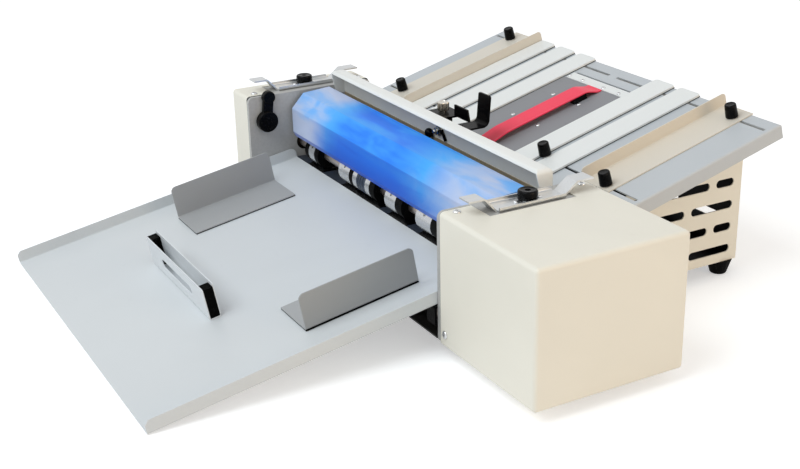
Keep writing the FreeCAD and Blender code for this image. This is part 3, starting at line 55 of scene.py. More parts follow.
# Places that the sizes below are counted from, in metres. The throat is the gap between the two casings.
THROAT = Vector((-0.067, -0.061971, 0.0))
TABLE_EDGE = Vector((0.0, 0.199, 0.1367))
TABLE_TILT = math.radians(15.2)
TABLE = Matrix.Translation(THROAT + TABLE_EDGE) @ Matrix.Rotation(TABLE_TILT, 4, "X")
FACING_FRONT = Matrix.Rotation(math.radians(90.0), 4, "X")
# Distances from the throat's middle to the lines of screws, in millimetres
CASING_LINE = 283.7
CHANNEL_LINE = 295.0
# How near to a line a point has to lie to be picked, in millimetres
NEAR = 0.01
# How far a cutter reaches past the faces that it cuts through, in millimetres
OVERRUN = 5.0

# Stage, in metres and degrees
FLOOR_LEVEL = -0.0004
KEY_PLACE = (0.2, -2.2, 3.0)
KEY_SIZE = 2.6
KEY_COLOUR = (0.86, 0.94, 1.0)
FILL_PLACE = (2.9, 1.2, 0.8)
FILL_SIZE = 1.5
FILL_COLOUR = (1.0, 0.72, 0.42)
LAMP_AIM = (0.0, 0.0, 0.1)
CAMERA_PLACE = (1.3656, -0.74497, 0.6974)
CAMERA_AZIMUTH = 61.0435
CAMERA_ELEVATION = 21.6942
CAMERA_ROLL = -1.1588
CAMERA_SENSOR = 36.0
CAMERA_LENS = 58.606
CAMERA_SHIFT = (-0.00845, -0.00925)
CAMERA_REACH = 60.0

# Keeps the finishes apart from the flat materials that come with the solids under the same names
FINISH_MARK = "_finish"


def srgb(red, green, blue):
    """Linear colour from 0 to 255 screen values."""
    def channel(value):
        share = value / 255
        return share / 12.92 if share <= 0.04045 else ((share + 0.055) / 1.055) ** 2.4
    return channel(red), channel(green), channel(blue)


def rgba(colour, factor=1.0):
    return tuple(min(channel * factor, 1.0) for channel in colour[:3]) + (1.0,)


# Materials

class Link:
    """An output socket of a material. Python's operators add Math nodes to it."""

    def __init__(self, finish, socket):
        self.finish = finish
        self.socket = socket

    def math(self, operation, first, second):
        return self.finish.node("ShaderNodeMath", {"operation": operation}, {0: first, 1: second})

    def __add__(self, other):
        return self.math("ADD", self, other)

    def __radd__(self, other):
        return self.math("ADD", other, self)

    def __sub__(self, other):
        return self.math("SUBTRACT", self, other)

    def __rsub__(self, other):
        return self.math("SUBTRACT", other, self)

    def __mul__(self, other):
        return self.math("MULTIPLY", self, other)

    def __rmul__(self, other):
        return self.math("MULTIPLY", other, self)


class Finish:
    """A material and the nodes that make it."""

    def __init__(self, name, metallic=0.0):
        self.material = bpy.data.materials.new(name + FINISH_MARK)
        self.material.use_nodes = True
        self.tree = self.material.node_tree
        self.surface = self.tree.nodes["Principled BSDF"]
        self.surface.inputs["Metallic"].default_value = metallic

    @classmethod
    def of(cls, material):
        """The nodes of a material that is there already."""
        finish = cls.__new__(cls)
        finish.material = material
        finish.tree = material.node_tree
        finish.surface = finish.tree.nodes["Principled BSDF"]
        return finish

    def node(self, kind, settings=None, sockets=None, output=0):
        """Adds a node with its settings, then the values or links of its sockets."""
        made = self.tree.nodes.new(kind)
        for name, value in (settings or {}).items():
            if name == "stops":
                ramp = made.color_ramp
                while len(ramp.elements) < len(value):
                    ramp.elements.new(1.0)
                for element, (position, colour) in zip(ramp.elements, value):
                    element.position = position
                    element.color = colour
            else:
                setattr(made, name, value)
        for name, value in (sockets or {}).items():
            self.feed(made.inputs[name], value)
        return Link(self, made.outputs[output])

    def feed(self, socket, value):
        if isinstance(value, Link):
            self.tree.links.new(value.socket, socket)
        else:
            socket.default_value = value

    def set(self, **sockets):
        """Feeds sockets of the surface; an underscore stands for a space."""
        for name, value in sockets.items():
            self.feed(self.surface.inputs[name.replace("_", " ")], value)

    def place(self):
        return self.node("ShaderNodeTexCoord", output=3)

    def axis(self, name):
        """One object coordinate, in metres."""
        return self.node("ShaderNodeSeparateXYZ", None, {0: self.place()}, output="XYZ".index(name))

    def across(self):
        """Distance from the throat's middle plane, in metres."""
        offset = self.axis("X") - THROAT.x
        return offset.math("ABSOLUTE", offset, 0.0)

    def depth(self):
        """Place from the front to the rear, in metres."""
        return self.axis("Y")

    def noise(self, scale, detail, stretch=(1.0, 1.0, 1.0), distortion=0.0):
        moved = self.node("ShaderNodeMapping", None, {"Vector": self.place(), "Scale": stretch})
        return self.node("ShaderNodeTexNoise", None, {
            "Vector": moved, "Scale": scale, "Detail": detail, "Distortion": distortion})

    def span(self, value, low, high, smooth=True):
        """The value brought from its range to 0 to 1, and kept inside it."""
        kind = "SMOOTHSTEP" if smooth else "LINEAR"
        return self.node("ShaderNodeMapRange", {"interpolation_type": kind}, {
            "Value": value, "From Min": low, "From Max": high})

    def between(self, factor, low, high):
        """Colour between two colours."""
        return self.node("ShaderNodeMix", {"data_type": "RGBA"}, {0: factor, 6: low, 7: high}, output=2)

    def ramp(self, factor, stops):
        return self.node("ShaderNodeValToRGB", {"stops": stops}, {0: factor})

    def bump(self, height, depth, strength):
        return self.node("ShaderNodeBump", None, {
            "Height": height, "Distance": depth, "Strength": strength})


def paint(name, colour, roughness=0.42, grain=1.0, mottle=0.04, wear=0.05, gloss=0.4):
    """Powder coat: fine orange peel, slight mottling and darker scuffs."""
    finish = Finish(name)
    finish.set(Specular_IOR_Level=gloss)
    fine = finish.noise(1500.0, 1.0)
    broad = finish.noise(9.0, 3.0, distortion=0.6)
    scuffs = finish.span(finish.noise(70.0, 4.0, stretch=(1.0, 1.0, 3.0)), 0.62, 0.8)
    base = finish.between(broad, rgba(colour, 1.0 - mottle), rgba(colour, 1.0 + mottle))
    base = finish.between(scuffs * wear, base, rgba(colour, 0.72))
    rough = roughness + 0.1 * (fine - 0.5) + 0.12 * (broad - 0.5) + 0.12 * scuffs
    height = fine * 0.7 + finish.noise(420.0, 2.0) * 0.5
    finish.set(Base_Color=base, Roughness=rough, Normal=finish.bump(height, 0.00005 * grain, 0.5))
    return finish.material


def paint_shade_black(material, value, low, high):
    """Painted shade: makes a paint near black where a distance, in metres, lies between two places, to
    stand for shade inside the machine and in its seams.
    """
    finish = Finish.of(material)
    distance = value(finish)
    edge = 0.0001
    shade_black = (0.004, 0.004, 0.004)
    # Painted shade: between the two places the paint turns near black, as shade falls there.
    inside = finish.span(distance, low - edge, low) * finish.span(distance, high + edge, high)
    coat = finish.surface.inputs["Base Color"].links[0].from_socket
    finish.set(Base_Color=finish.between(inside, Link(finish, coat), rgba(shade_black)))
    return material


def brushed(name, colour, roughness, stretch, metallic=1.0, depth=0.00002):
    """Metal with fine lines along one axis, dull patches and a few darker stains."""
    finish = Finish(name, metallic=metallic)
    lines = finish.noise(900.0, 2.0, stretch=stretch)
    dull = finish.noise(28.0, 4.0, distortion=0.8)
    stain = finish.span(finish.noise(12.0, 5.0), 0.55, 0.75)
    base = finish.between(lines, rgba(colour, 0.86), rgba(colour, 1.1))
    base = finish.between(stain * 0.35, base, rgba(colour, 0.6))
    rough = roughness + 0.16 * (lines - 0.5) + 0.2 * (dull - 0.5) + 0.08 * stain
    finish.set(Base_Color=base, Roughness=rough, Normal=finish.bump(lines, depth, 0.6))
    return finish.material


def turned(name, colour, roughness):
    """Ground shaft: rings round its length and a dark oily film."""
    finish = Finish(name, metallic=1.0)
    rings = finish.noise(1600.0, 1.0, stretch=(1.0, 0.02, 0.02))
    film = finish.span(finish.noise(40.0, 4.0, distortion=1.0), 0.4, 0.75)
    base = finish.between(rings, rgba(colour, 0.85), rgba(colour, 1.12))
    base = finish.between(film * 0.5, base, rgba((colour[0], colour[1] * 0.85, colour[2] * 0.66), 0.62))
    rough = roughness + 0.15 * (rings - 0.5) + 0.15 * film
    finish.set(Base_Color=base, Roughness=rough, Normal=finish.bump(rings, 0.00002, 0.5))
    return finish.material


def moulded(name, colour, roughness, grain=1.0, wear=0.35, rubbed_sheen_colour=None, gloss=0.2, metallic=0.0):
    """Moulded plastic or rubber: spark-eroded grain, rubbed patches that stand for both wear and painted
    sheen, and a little lint.
    """
    finish = Finish(name, metallic=metallic)
    finish.set(Specular_IOR_Level=gloss)
    fine = finish.noise(2200.0, 2.0)
    rubbed_sheen = finish.span(finish.noise(55.0, 4.0, distortion=0.4), 0.5, 0.8)
    lint = finish.span(finish.noise(1300.0, 0.0), 0.74, 0.82)
    # Painted sheen and wear: rubbed patches take another colour, by default lighter than the plastic.
    worn_sheen = rubbed_sheen_colour or [channel * 1.5 + 0.012 for channel in colour]
    linty = [channel * 0.5 + 0.3 for channel in colour]
    base = finish.between(rubbed_sheen * wear, rgba(colour), rgba(worn_sheen))
    base = finish.between(lint * 0.16, base, rgba(linty))
    rough = roughness + 0.12 * (fine - 0.5) - 0.1 * rubbed_sheen + 0.2 * lint
    finish.set(Base_Color=base, Roughness=rough, Normal=finish.bump(fine, 0.00006 * grain, 0.5))
    return finish.material


def sky_film(name, pale, light, deep, dark):
    """Printed film: pale ends, blue between them and darker low down, with soft drifts and wisps, and
    painted shade on its front face and its lip.
    """
    # Where the cover ends, and where its folds lie, in metres
    far_end, drive_end = -0.329, 0.195
    lower_edge, upper_edge = 0.1126, 0.18
    top_fold = (0.1556, 0.1552)
    lip_fold = (0.1199, 0.1195)
    finish = Finish(name)
    finish.set(Specular_IOR_Level=0.2)
    along = finish.span(finish.axis("X"), far_end, drive_end, smooth=False)
    up = finish.span(finish.axis("Z"), lower_edge, upper_edge, smooth=False)
    drift = finish.noise(6.0, 3.0, stretch=(1.0, 2.0, 2.0), distortion=0.5)
    streaks = finish.noise(15.0, 3.0, stretch=(0.45, 1.6, 2.6), distortion=0.5)
    clouds = finish.noise(13.0, 5.0, stretch=(1.0, 2.0, 2.0), distortion=1.1)
    wisps = finish.span(clouds, 0.44, 0.72)
    base = finish.ramp(along + 0.13 * (drift - 0.5), [
        (0.0, rgba(pale)), (0.13, rgba(pale)), (0.22, rgba(light)), (0.3, rgba(deep)), (0.56, rgba(deep)),
        (0.72, rgba(light)), (0.88, rgba(pale))])
    middle = finish.span(along, 0.08, 0.26) * finish.span(along, 0.92, 0.6)
    bright = finish.span(streaks, 0.42, 0.66) * finish.span(up, 0.35, 0.75)
    base = finish.between(bright * 0.75, base, rgba(light))
    base = finish.between(finish.span(up, 0.5, 0.1) * middle * 0.7, base, rgba(dark))
    base = finish.between(finish.span(streaks, 0.5, 0.3) * middle * 0.35, base, rgba(dark, 1.15))
    base = finish.between(wisps * (1.0 - middle) * 0.6, base, rgba(pale, 1.05))
    # Painted shade: the front face below the top fold is darker, as it gets less light than the slope above
    # it.
    front = finish.span(finish.axis("Z"), *top_fold)
    base = finish.between(front * middle * 0.4, base, rgba(dark))
    # Painted shade: the lip's inward-turning facet is darker, as shade falls on it.
    lip = finish.span(finish.axis("Z"), *lip_fold)
    base = finish.between(lip * 0.55, base, rgba(dark))
    fine = finish.noise(900.0, 1.0)
    rough = 0.34 + 0.08 * drift + 0.05 * fine
    finish.set(Base_Color=base, Roughness=rough, Normal=finish.bump(fine, 0.00002, 0.3))
    return finish.material


def dress(material, *nodes):
    """Gives CAD nodes a finish."""
    for name in nodes:
        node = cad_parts[name]
        node.data.materials.clear()
        node.data.materials.append(material)


# Modelling

def clear_selection():
    if bpy.context.object and bpy.context.object.mode != "OBJECT":
        bpy.ops.object.mode_set(mode="OBJECT")
    bpy.ops.object.select_all(action="DESELECT")


def choose(*pieces):
    clear_selection()
    for piece in pieces:
        piece.select_set(True)
    bpy.context.view_layer.objects.active = pieces[0]


def turned_piece(name, profile, sides):
    """Solid of revolution about Z: a disc, extruded and resized in (radius, height) millimetre steps."""
    clear_selection()
    radius, height = profile[0]
    bpy.ops.mesh.primitive_circle_add(vertices=sides, radius=radius * MM, fill_type="NGON",
                                      location=(0.0, 0.0, height * MM))
    piece = bpy.context.object
    piece.name = name
    bpy.ops.object.transform_apply(location=True, rotation=True, scale=True)
    bpy.ops.object.mode_set(mode="EDIT")
    for next_radius, next_height in profile[1:]:
        rise = (next_height - height) * MM
        ratio = next_radius / radius
        bpy.ops.mesh.extrude_region_move(TRANSFORM_OT_translate={"value": (0.0, 0.0, rise)})
        bpy.ops.transform.resize(value=(ratio, ratio, 1.0), center_override=(0.0, 0.0, 0.0))
        radius, height = next_radius, next_height
    bpy.ops.mesh.select_all(action="SELECT")
    bpy.ops.mesh.normals_make_consistent(inside=False)
    bpy.ops.object.mode_set(mode="OBJECT")
    return piece


def cut_away(piece, cutter):
    """Cuts the cutter out of the piece, and removes the cutter."""
    apply_modifier(piece, "BOOLEAN", operation="DIFFERENCE", solver="EXACT", object=cutter)
    bpy.data.objects.remove(cutter)
    return piece


def box_piece(name, low, high, bevel=0.0):
    """Box between two corners in millimetres, its edges bevelled."""
    clear_selection()
    centre = [(a + b) / 2 * MM for a, b in zip(low, high)]
    size = [(b - a) * MM for a, b in zip(low, high)]
    bpy.ops.mesh.primitive_cube_add(size=1.0, location=centre, scale=size)
    piece = bpy.context.object
    piece.name = name
    bpy.ops.object.transform_apply(location=True, rotation=True, scale=True)
    if bevel:
        bpy.ops.object.mode_set(mode="EDIT")
        bpy.ops.mesh.select_all(action="SELECT")
        bpy.ops.mesh.bevel(offset=bevel * MM, segments=2)
        bpy.ops.object.mode_set(mode="OBJECT")
    return piece


def apply_modifier(piece, kind, **settings):
    choose(piece)
    bpy.ops.object.modifier_add(type=kind)
    modifier = piece.modifiers[-1]
    for name, value in settings.items():
        setattr(modifier, name, value)
    bpy.ops.object.modifier_apply(modifier=modifier.name)
    return piece


def pick_points(piece, chosen):
    """Selects the points of a piece for which chosen(place in millimetres) is true, in edit mode."""
    choose(piece)
    bpy.ops.object.mode_set(mode="EDIT")
    bpy.ops.mesh.select_mode(type="VERT")
    bpy.ops.mesh.select_all(action="DESELECT")
    bpy.ops.object.mode_set(mode="OBJECT")
    for point in piece.data.vertices:
        point.select = chosen(point.co / MM)
    bpy.ops.object.mode_set(mode="EDIT")


def sheet_piece(name, left, right, path, thickness, bend, corner=0.0):
    """Bent sheet from left to right along (y, z) points, its last two corners rounded, in millimetres."""
    clear_selection()
    (y0, z0), (y1, z1) = path[:2]
    middle = Vector(((left + right) / 2, (y0 + y1) / 2, (z0 + z1) / 2)) * MM
    slope = math.atan2(z1 - z0, y1 - y0)
    bpy.ops.mesh.primitive_plane_add(size=1.0, location=middle, rotation=(slope, 0.0, 0.0))
    piece = bpy.context.object
    piece.name = name
    piece.scale = ((right - left) * MM, math.hypot(y1 - y0, z1 - z0) * MM, 1.0)
    bpy.ops.object.transform_apply(location=True, rotation=True, scale=True)
    pick_points(piece, lambda place: math.hypot(place.y - y1, place.z - z1) < NEAR)
    for (y, z), (next_y, next_z) in zip(path[1:], path[2:]):
        bpy.ops.mesh.extrude_region_move(
            TRANSFORM_OT_translate={"value": (0.0, (next_y - y) * MM, (next_z - z) * MM)})
    if corner:
        bpy.ops.mesh.bevel(affect="VERTICES", offset=corner * MM, segments=5)
    bpy.ops.object.mode_set(mode="OBJECT")
    apply_modifier(piece, "BEVEL", width=bend * MM, segments=8, limit_method="ANGLE",
                   angle_limit=math.radians(4.0))
    return apply_modifier(piece, "SOLIDIFY", thickness=thickness * MM, offset=1.0)


def smooth(piece, angle=35.0):
    choose(piece)
    bpy.ops.object.shade_smooth_by_angle(angle=math.radians(angle))
    return piece


def copies(piece, name, places):
    """Copies of a piece at the places, joined as one piece, and the first removed."""
    made = []
    for matrix in places:
        twin = piece.copy()
        twin.data = piece.data.copy()
        bpy.context.collection.objects.link(twin)
        twin.matrix_world = matrix
        made.append(twin)
    bpy.data.objects.remove(piece)
    choose(*made)
    bpy.ops.object.transform_apply(location=True, rotation=True, scale=True)
    if len(made) > 1:
        bpy.ops.object.join()
    whole = bpy.context.object
    whole.name = name
    return whole


def joined(name, *pieces):
    choose(*pieces)
    bpy.ops.object.join()
    bpy.context.object.name = name
    return bpy.context.object


def coated(piece, material):
    piece.data.materials.clear()
    piece.data.materials.append(material)
    return piece


def at(x, y, z):
    """Upright placing, from the throat's middle and the casings' front, in millimetres."""
    return Matrix.Translation(THROAT + Vector((x, y, z)) * MM)


def on_table(x, along, height):
    """Placing square to the feed table, along its slope from the casings' rear, in millimetres."""
    return TABLE @ Matrix.Translation(Vector((x, along, height)) * MM)


def half_width(node):
    """Half of what a CAD node measures across the machine, in millimetres."""
    low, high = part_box(node)
    return (high[0] - low[0]) / 2 / MM


def finish_of(name):
    return bpy.data.materials[name + FINISH_MARK]


# Settings

def colour_setting(name, description, screen_colour):
    """Setting for a colour, its default given in 0 to 255 screen values."""
    return FloatVectorProperty(
        name=name, description=description, subtype="COLOR", size=3, min=0.0, max=1.0,
        default=srgb(*screen_colour))


class CreaserPaints(bpy.types.PropertyGroup):
    casing: colour_setting("Casings", "Powder coat of the casings and panels", (239, 234, 220))
    feed_guides: colour_setting(
        "Feed Guides", "Powder coat of the side guides on the feed table", (224, 216, 202))
    beam: colour_setting("Beam", "Paint of the cross beam", (240, 240, 236))
    table: colour_setting("Feed Table", "Paint of the feed table", (197, 201, 204))
    tray: colour_setting("Delivery Tray", "Paint of the delivery tray", (214, 217, 218))
    guides: colour_setting("Delivery Guides", "Paint of the delivery guides", (170, 171, 171))
    stop: colour_setting("End Stop", "Paint of the delivery tray's end stop", (224, 227, 229))
    slats: colour_setting("Slats", "Raised slats of the feed table", (238, 239, 236))
    feed_plate: colour_setting("Feed Plate", "Plate in the middle of the feed table", (140, 140, 143))
    ramp: colour_setting("Ramp", "Strip that lifts the middle of the sheets", (255, 66, 94))
    film_pale: colour_setting("Cover Pale", "Palest colour of the cover's film", (194, 206, 234))
    film_light: colour_setting("Cover Light", "Light blue of the cover's film", (74, 176, 255))
    film_deep: colour_setting("Cover Deep", "Main blue of the cover's film", (34, 132, 252))
    film_dark: colour_setting(
        "Cover Dark", "Darkest blue of the cover's film, low on its front", (26, 84, 205))


class CreaserHardware(bpy.types.PropertyGroup):
    thumb_base: FloatProperty(
        name="Thumbscrew Base", description="Widest diameter of a thumbscrew, in millimetres",
        default=16.4, min=10.0)
    thumb_top: FloatProperty(
        name="Thumbscrew Top", description="Diameter of a thumbscrew at its top, in millimetres",
        default=14.8, min=8.0)
    thumb_height: FloatProperty(
        name="Thumbscrew Height", description="Height of a thumbscrew's knob, in millimetres",
        default=18.0, min=8.0)
    knob: FloatProperty(
        name="Channel Knob", description="Diameter of the knobs on the top channels, in millimetres",
        default=23.6, min=12.0)
    screw: FloatProperty(
        name="Screw Head", description="Diameter of the casings' screw heads, in millimetres",
        default=9.6, min=4.0)
    small_screw: FloatProperty(
        name="Small Screw Head", description="Diameter of the small screw heads, in millimetres",
        default=6.4, min=3.0)
    knurls: IntProperty(
        name="Knurls", description="Ridges round the separator's screw",
        default=36, min=12)


class CreaserStage(bpy.types.PropertyGroup):
    floor_size: FloatProperty(
        name="Floor", description="Side of the square floor",
        subtype="DISTANCE", unit="LENGTH", default=14.0, min=2.0)
    key_power: FloatProperty(
        name="Key Lamp", description="Power of the main soft lamp",
        subtype="POWER", unit="POWER", default=79.0, min=0.0)
    fill_power: FloatProperty(
        name="Fill Lamp", description="Power of the side soft lamp",
        subtype="POWER", unit="POWER", default=22.0, min=0.0)
    sky: FloatProperty(
        name="Sky", description="Strength of the even light all round",
        default=0.46, min=0.0)


# Pieces

class CREASER_OT_stage(bpy.types.Operator):
    """Adds the floor, the soft lamps, the even light and the camera"""
    bl_idname = "creaser.stage"
    bl_label = "Stage"

    def execute(self, context):
        stage = context.scene.creaser_stage
        clear_selection()
        bpy.ops.mesh.primitive_plane_add(size=stage.floor_size, location=(0.0, 0.0, FLOOR_LEVEL))
        floor = context.object
        floor.name = "floor"
        coated(floor, self.floor_paint())
        self.lamp("key", KEY_PLACE, KEY_SIZE, stage.key_power, KEY_COLOUR)
        self.lamp("fill", FILL_PLACE, FILL_SIZE, stage.fill_power, FILL_COLOUR)
        self.even_light(context.scene, stage.sky)
        self.camera(context.scene)
        context.scene.view_settings.view_transform = "Standard"
        return {"FINISHED"}

    def floor_paint(self):
        """White floor that keeps the shadow, and is lifted to white where a camera or a mirror sees it."""
        finish = Finish("floor_paint")
        eye = finish.node("ShaderNodeLightPath", output="Is Camera Ray")
        mirror = finish.node("ShaderNodeLightPath", output="Is Glossy Ray")
        seen = eye.math("MAXIMUM", eye, mirror)
        white = (1.0, 1.0, 1.0)
        finish.set(Base_Color=rgba(white, 0.86), Roughness=0.9, Emission_Color=rgba(white),
                   Emission_Strength=seen * 0.45)
        return finish.material

    def lamp(self, name, place, size, power, colour):
        bpy.ops.object.light_add(type="AREA", location=place)
        lamp = bpy.context.object
        lamp.name = name
        lamp.data.shape = "SQUARE"
        lamp.data.size = size
        lamp.data.energy = power
        lamp.data.color = colour
        aim = Vector(LAMP_AIM) - Vector(place)
        lamp.rotation_euler = aim.to_track_quat("-Z", "Y").to_euler()

    def even_light(self, scene, strength):
        world = scene.world or bpy.data.worlds.new("even_light")
        scene.world = world
        world.use_nodes = True
        tree = world.node_tree
        ray = tree.nodes.new("ShaderNodeLightPath")
        background = tree.nodes["Background"]
        background.inputs["Color"].default_value = (1.0, 1.0, 1.0, 1.0)
        seen = tree.nodes.new("ShaderNodeMath")
        seen.operation = "MAXIMUM"
        tree.links.new(ray.outputs["Is Camera Ray"], seen.inputs[0])
        tree.links.new(ray.outputs["Is Glossy Ray"], seen.inputs[1])
        level = tree.nodes.new("ShaderNodeMapRange")
        level.inputs["To Min"].default_value = strength
        level.inputs["To Max"].default_value = 1.0
        tree.links.new(seen.outputs[0], level.inputs["Value"])
        tree.links.new(level.outputs[0], background.inputs["Strength"])

    def camera(self, scene):
        """Camera at the photograph's place, turned by its azimuth, elevation and roll."""
        azimuth = math.radians(CAMERA_AZIMUTH)
        elevation = math.radians(CAMERA_ELEVATION)
        roll = math.radians(CAMERA_ROLL)
        level = math.cos(elevation)
        back = Vector((math.sin(azimuth) * level, -math.cos(azimuth) * level, math.sin(elevation)))
        right = (-back).cross(Vector((0.0, 0.0, 1.0))).normalized()
        up = back.cross(right)
        turn = Matrix((right * math.cos(roll) + up * math.sin(roll),
                       up * math.cos(roll) - right * math.sin(roll), back)).transposed()
        bpy.ops.object.camera_add(location=CAMERA_PLACE, rotation=turn.to_euler())
        camera = bpy.context.object
        camera.name = "camera"
        camera.data.sensor_width = CAMERA_SENSOR
        camera.data.lens = CAMERA_LENS
        camera.data.shift_x, camera.data.shift_y = CAMERA_SHIFT
        camera.data.clip_end = CAMERA_REACH
        camera.data.dof.use_dof = False
        scene.camera = camera


class CREASER_OT_finishes(bpy.types.Operator):
    """Makes the paints, plastics and metals and gives them to the machine's solid parts"""
    bl_idname = "creaser.finishes"
    bl_label = "Finishes"

    def execute(self, context):
        paints = context.scene.creaser_paints
        casing = paints.casing
        # Painted shade: what looks into the machine is painted black for its shade, and a thin black line
        # on the casings paints the shadow in their seam with the side plates. Distances from the throat's
        # middle, in metres
        casing_seam_shadow = (0.2735, 0.2738)
        panel_inside_shade = (0.0, 0.2658)
        # In the base, all in front of the skin of its rear wall
        rear_skin = 0.0007
        base_inside_shade = (-1.0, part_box("base_tray")[1][1] - rear_skin)
        # Painted shadow: a thin black line on the casings' rim where it meets the side plates.
        dress(paint_shade_black(paint("casing_coat", casing), Finish.across, *casing_seam_shadow),
              "drive_casing", "far_casing")
        # Painted shade: the panels' inner faces and the inside of the base are painted black for the shade
        # within.
        dress(paint_shade_black(paint("panel_coat", casing), Finish.across, *panel_inside_shade), "side_panels")
        dress(paint_shade_black(paint("base_coat", casing), Finish.depth, *base_inside_shade), "base_tray")
        dress(paint("feed_guide_coat", paints.feed_guides), "right_feed_guide", "left_feed_guide")
        dress(paint("beam_coat", paints.beam, roughness=0.38, grain=0.7), "cross_beam")
        dress(paint("table_coat", paints.table, roughness=0.45, grain=0.8), "feed_table")
        dress(paint("tray_coat", paints.tray, roughness=0.45, grain=0.8, mottle=0.03),
              "delivery_tray")
        dress(paint("guide_coat", paints.guides, roughness=0.4, grain=0.7),
              "right_delivery_guide", "left_delivery_guide")
        dress(paint("stop_coat", paints.stop, roughness=0.4, grain=0.7), "end_stop")
        dress(paint("feed_plate_coat", paints.feed_plate, roughness=0.5, grain=0.6, mottle=0.06,
                    wear=0.15), "feed_plate")
        dress(paint("slat_plastic", paints.slats, roughness=0.36, grain=0.5, mottle=0.02),
              "support_slats", "plate_end_bar")
        dress(paint("dark_coat", srgb(52, 58, 68), roughness=0.4, grain=0.7, gloss=0.2), "paper_guides")
        dress(paint("black_coat", srgb(6, 6, 8), roughness=0.26, grain=0.7, gloss=0.04),
              "tray_brackets", "separator_bracket", "separator_lever")
        dress(moulded("red_strip", paints.ramp, roughness=0.4, grain=0.6, wear=0.12,
                      rubbed_sheen_colour=srgb(240, 62, 84)), "lifting_ramp")
        dress(moulded("black_plastic", srgb(5, 5, 6), roughness=0.24, wear=0.1, gloss=0.09),
              "ramp_block", "power_inlet", "power_switch", "lower_rollers", "crank_lever")
        dress(moulded("black_rubber", srgb(5, 5, 5), roughness=0.6, grain=2.0, wear=0.2, gloss=0.05),
              "rubber_feet", "upper_rings", "feed_roller", "drive_belt")
        dress(moulded("magnet_sheet", srgb(3, 3, 3), roughness=0.7, grain=2.0, wear=0.1, gloss=0.03),
              "slat_magnets", "right_delivery_magnet", "left_delivery_magnet", "stop_magnets")
        dress(moulded("collar_plastic", srgb(200, 201, 202), roughness=0.22, grain=0.6, wear=0.4,
                      rubbed_sheen_colour=srgb(160, 163, 168), gloss=0.5, metallic=0.6), "upper_collars")
        dress(moulded("slate_plastic", srgb(50, 60, 76), roughness=0.34, grain=0.8), "creasing_ring")
        dress(brushed("plate_steel", srgb(184, 183, 180), roughness=0.62, stretch=(0.3, 0.3, 0.3),
                      metallic=0.3, depth=0.00001), "drive_side_plate", "far_side_plate")
        dress(brushed("channel_steel", srgb(205, 207, 208), roughness=0.38, stretch=(1.0, 0.04, 1.0)),
              "top_channels")
        dress(brushed("guide_steel", srgb(178, 160, 130), roughness=0.4, stretch=(0.03, 1.0, 1.0),
                      metallic=0.35), "upper_guide")
        dress(turned("shaft_steel", srgb(190, 182, 178), roughness=0.3),
              "upper_shaft", "lower_shaft", "feed_shaft", "tie_rods")
        dress(turned("gear_steel", srgb(150, 150, 152), roughness=0.36), "upper_gear", "lower_gear")
        dress(turned("pulley_metal", srgb(196, 198, 200), roughness=0.34),
              "lower_pulley", "feed_pulley", "motor_pulley")
        # Painted shade: the bearings' bronze is made near black, as they sit in deep shade under the
        # cover's far end.
        dress(turned("bearing_bronze", srgb(38, 32, 26), roughness=0.5), "shaft_bearings")
        dress(paint("motor_enamel", srgb(40, 41, 44), roughness=0.4), "drive_motor")
        brushed("screw_steel", srgb(216, 217, 218), roughness=0.26, stretch=(1.0, 1.0, 1.0))
        brushed("nickel", srgb(206, 202, 192), roughness=0.2, stretch=(1.0, 1.0, 1.0))
        dress(sky_film("cover_film", paints.film_pale, paints.film_light, paints.film_deep,
                       paints.film_dark), "hinged_cover")
        return {"FINISHED"}


def screw_head(name, diameter, height, shank):
    """Domed screw head with a cross recess, its shank below, in millimetres."""
    radius = diameter / 2
    shank_radius = 2.0
    head = turned_piece(name, [
        (shank_radius, -shank), (shank_radius, 0.0), (radius * 0.94, 0.0), (radius, height * 0.12),
        (radius, height * 0.3), (radius * 0.93, height * 0.58), (radius * 0.76, height * 0.84),
        (radius * 0.5, height * 0.98), (radius * 0.2, height)], sides=32)
    arm = radius * 0.52
    half = radius * 0.1
    for x, y in ((arm, half), (half, arm)):
        cut_away(head, box_piece("slot", (-x, -y, height * 0.45), (x, y, height * 1.5)))
    return smooth(head, angle=30.0)


class CREASER_OT_screws(bpy.types.Operator):
    """Models the machine's screws and puts one at each of its places"""
    bl_idname = "creaser.screws"
    bl_label = "Screws"

    def execute(self, context):
        sizes = context.scene.creaser_hardware
        large = copies(screw_head("screw", sizes.screw, height=2.4, shank=8.0), "casing_screws",
                       self.casing_places())
        small = copies(screw_head("small_screw", sizes.small_screw, height=1.6, shank=3.0), "small_screws",
                       self.channel_places() + self.plate_places() + self.bar_places())
        screws = coated(joined("screws", large, small), finish_of("screw_steel"))
        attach(screws, "frame")
        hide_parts("machine_screws")
        return {"FINISHED"}

    def casing_places(self):
        """Two screws on the top of each casing and one low on its front."""
        rows, top, front_height = (16.4, 186.1), 179.3, 32.4
        places = []
        for side in (-1, 1):
            places += [at(side * CASING_LINE, y, top) for y in rows]
            places.append(at(side * CASING_LINE, 0.0, front_height) @ FACING_FRONT)
        return places

    def channel_places(self):
        rows, top = (87.0, 119.0), 180.5
        return [at(side * CHANNEL_LINE, y, top) for side in (-1, 1) for y in rows]

    def plate_places(self):
        """Four screws that hold the feed plate to the table."""
        line, rows, top = 30.0, (105.4, 176.0), 1.2
        return [on_table(side * line, along, top) for along in rows for side in (-1, 1)]

    def bar_places(self):
        """Four screws of the bar at the plate's end."""
        row, top = 226.5, 2.2
        return [on_table(x, row, top) for x in (-57.0, -25.7, 22.0, 56.7)]


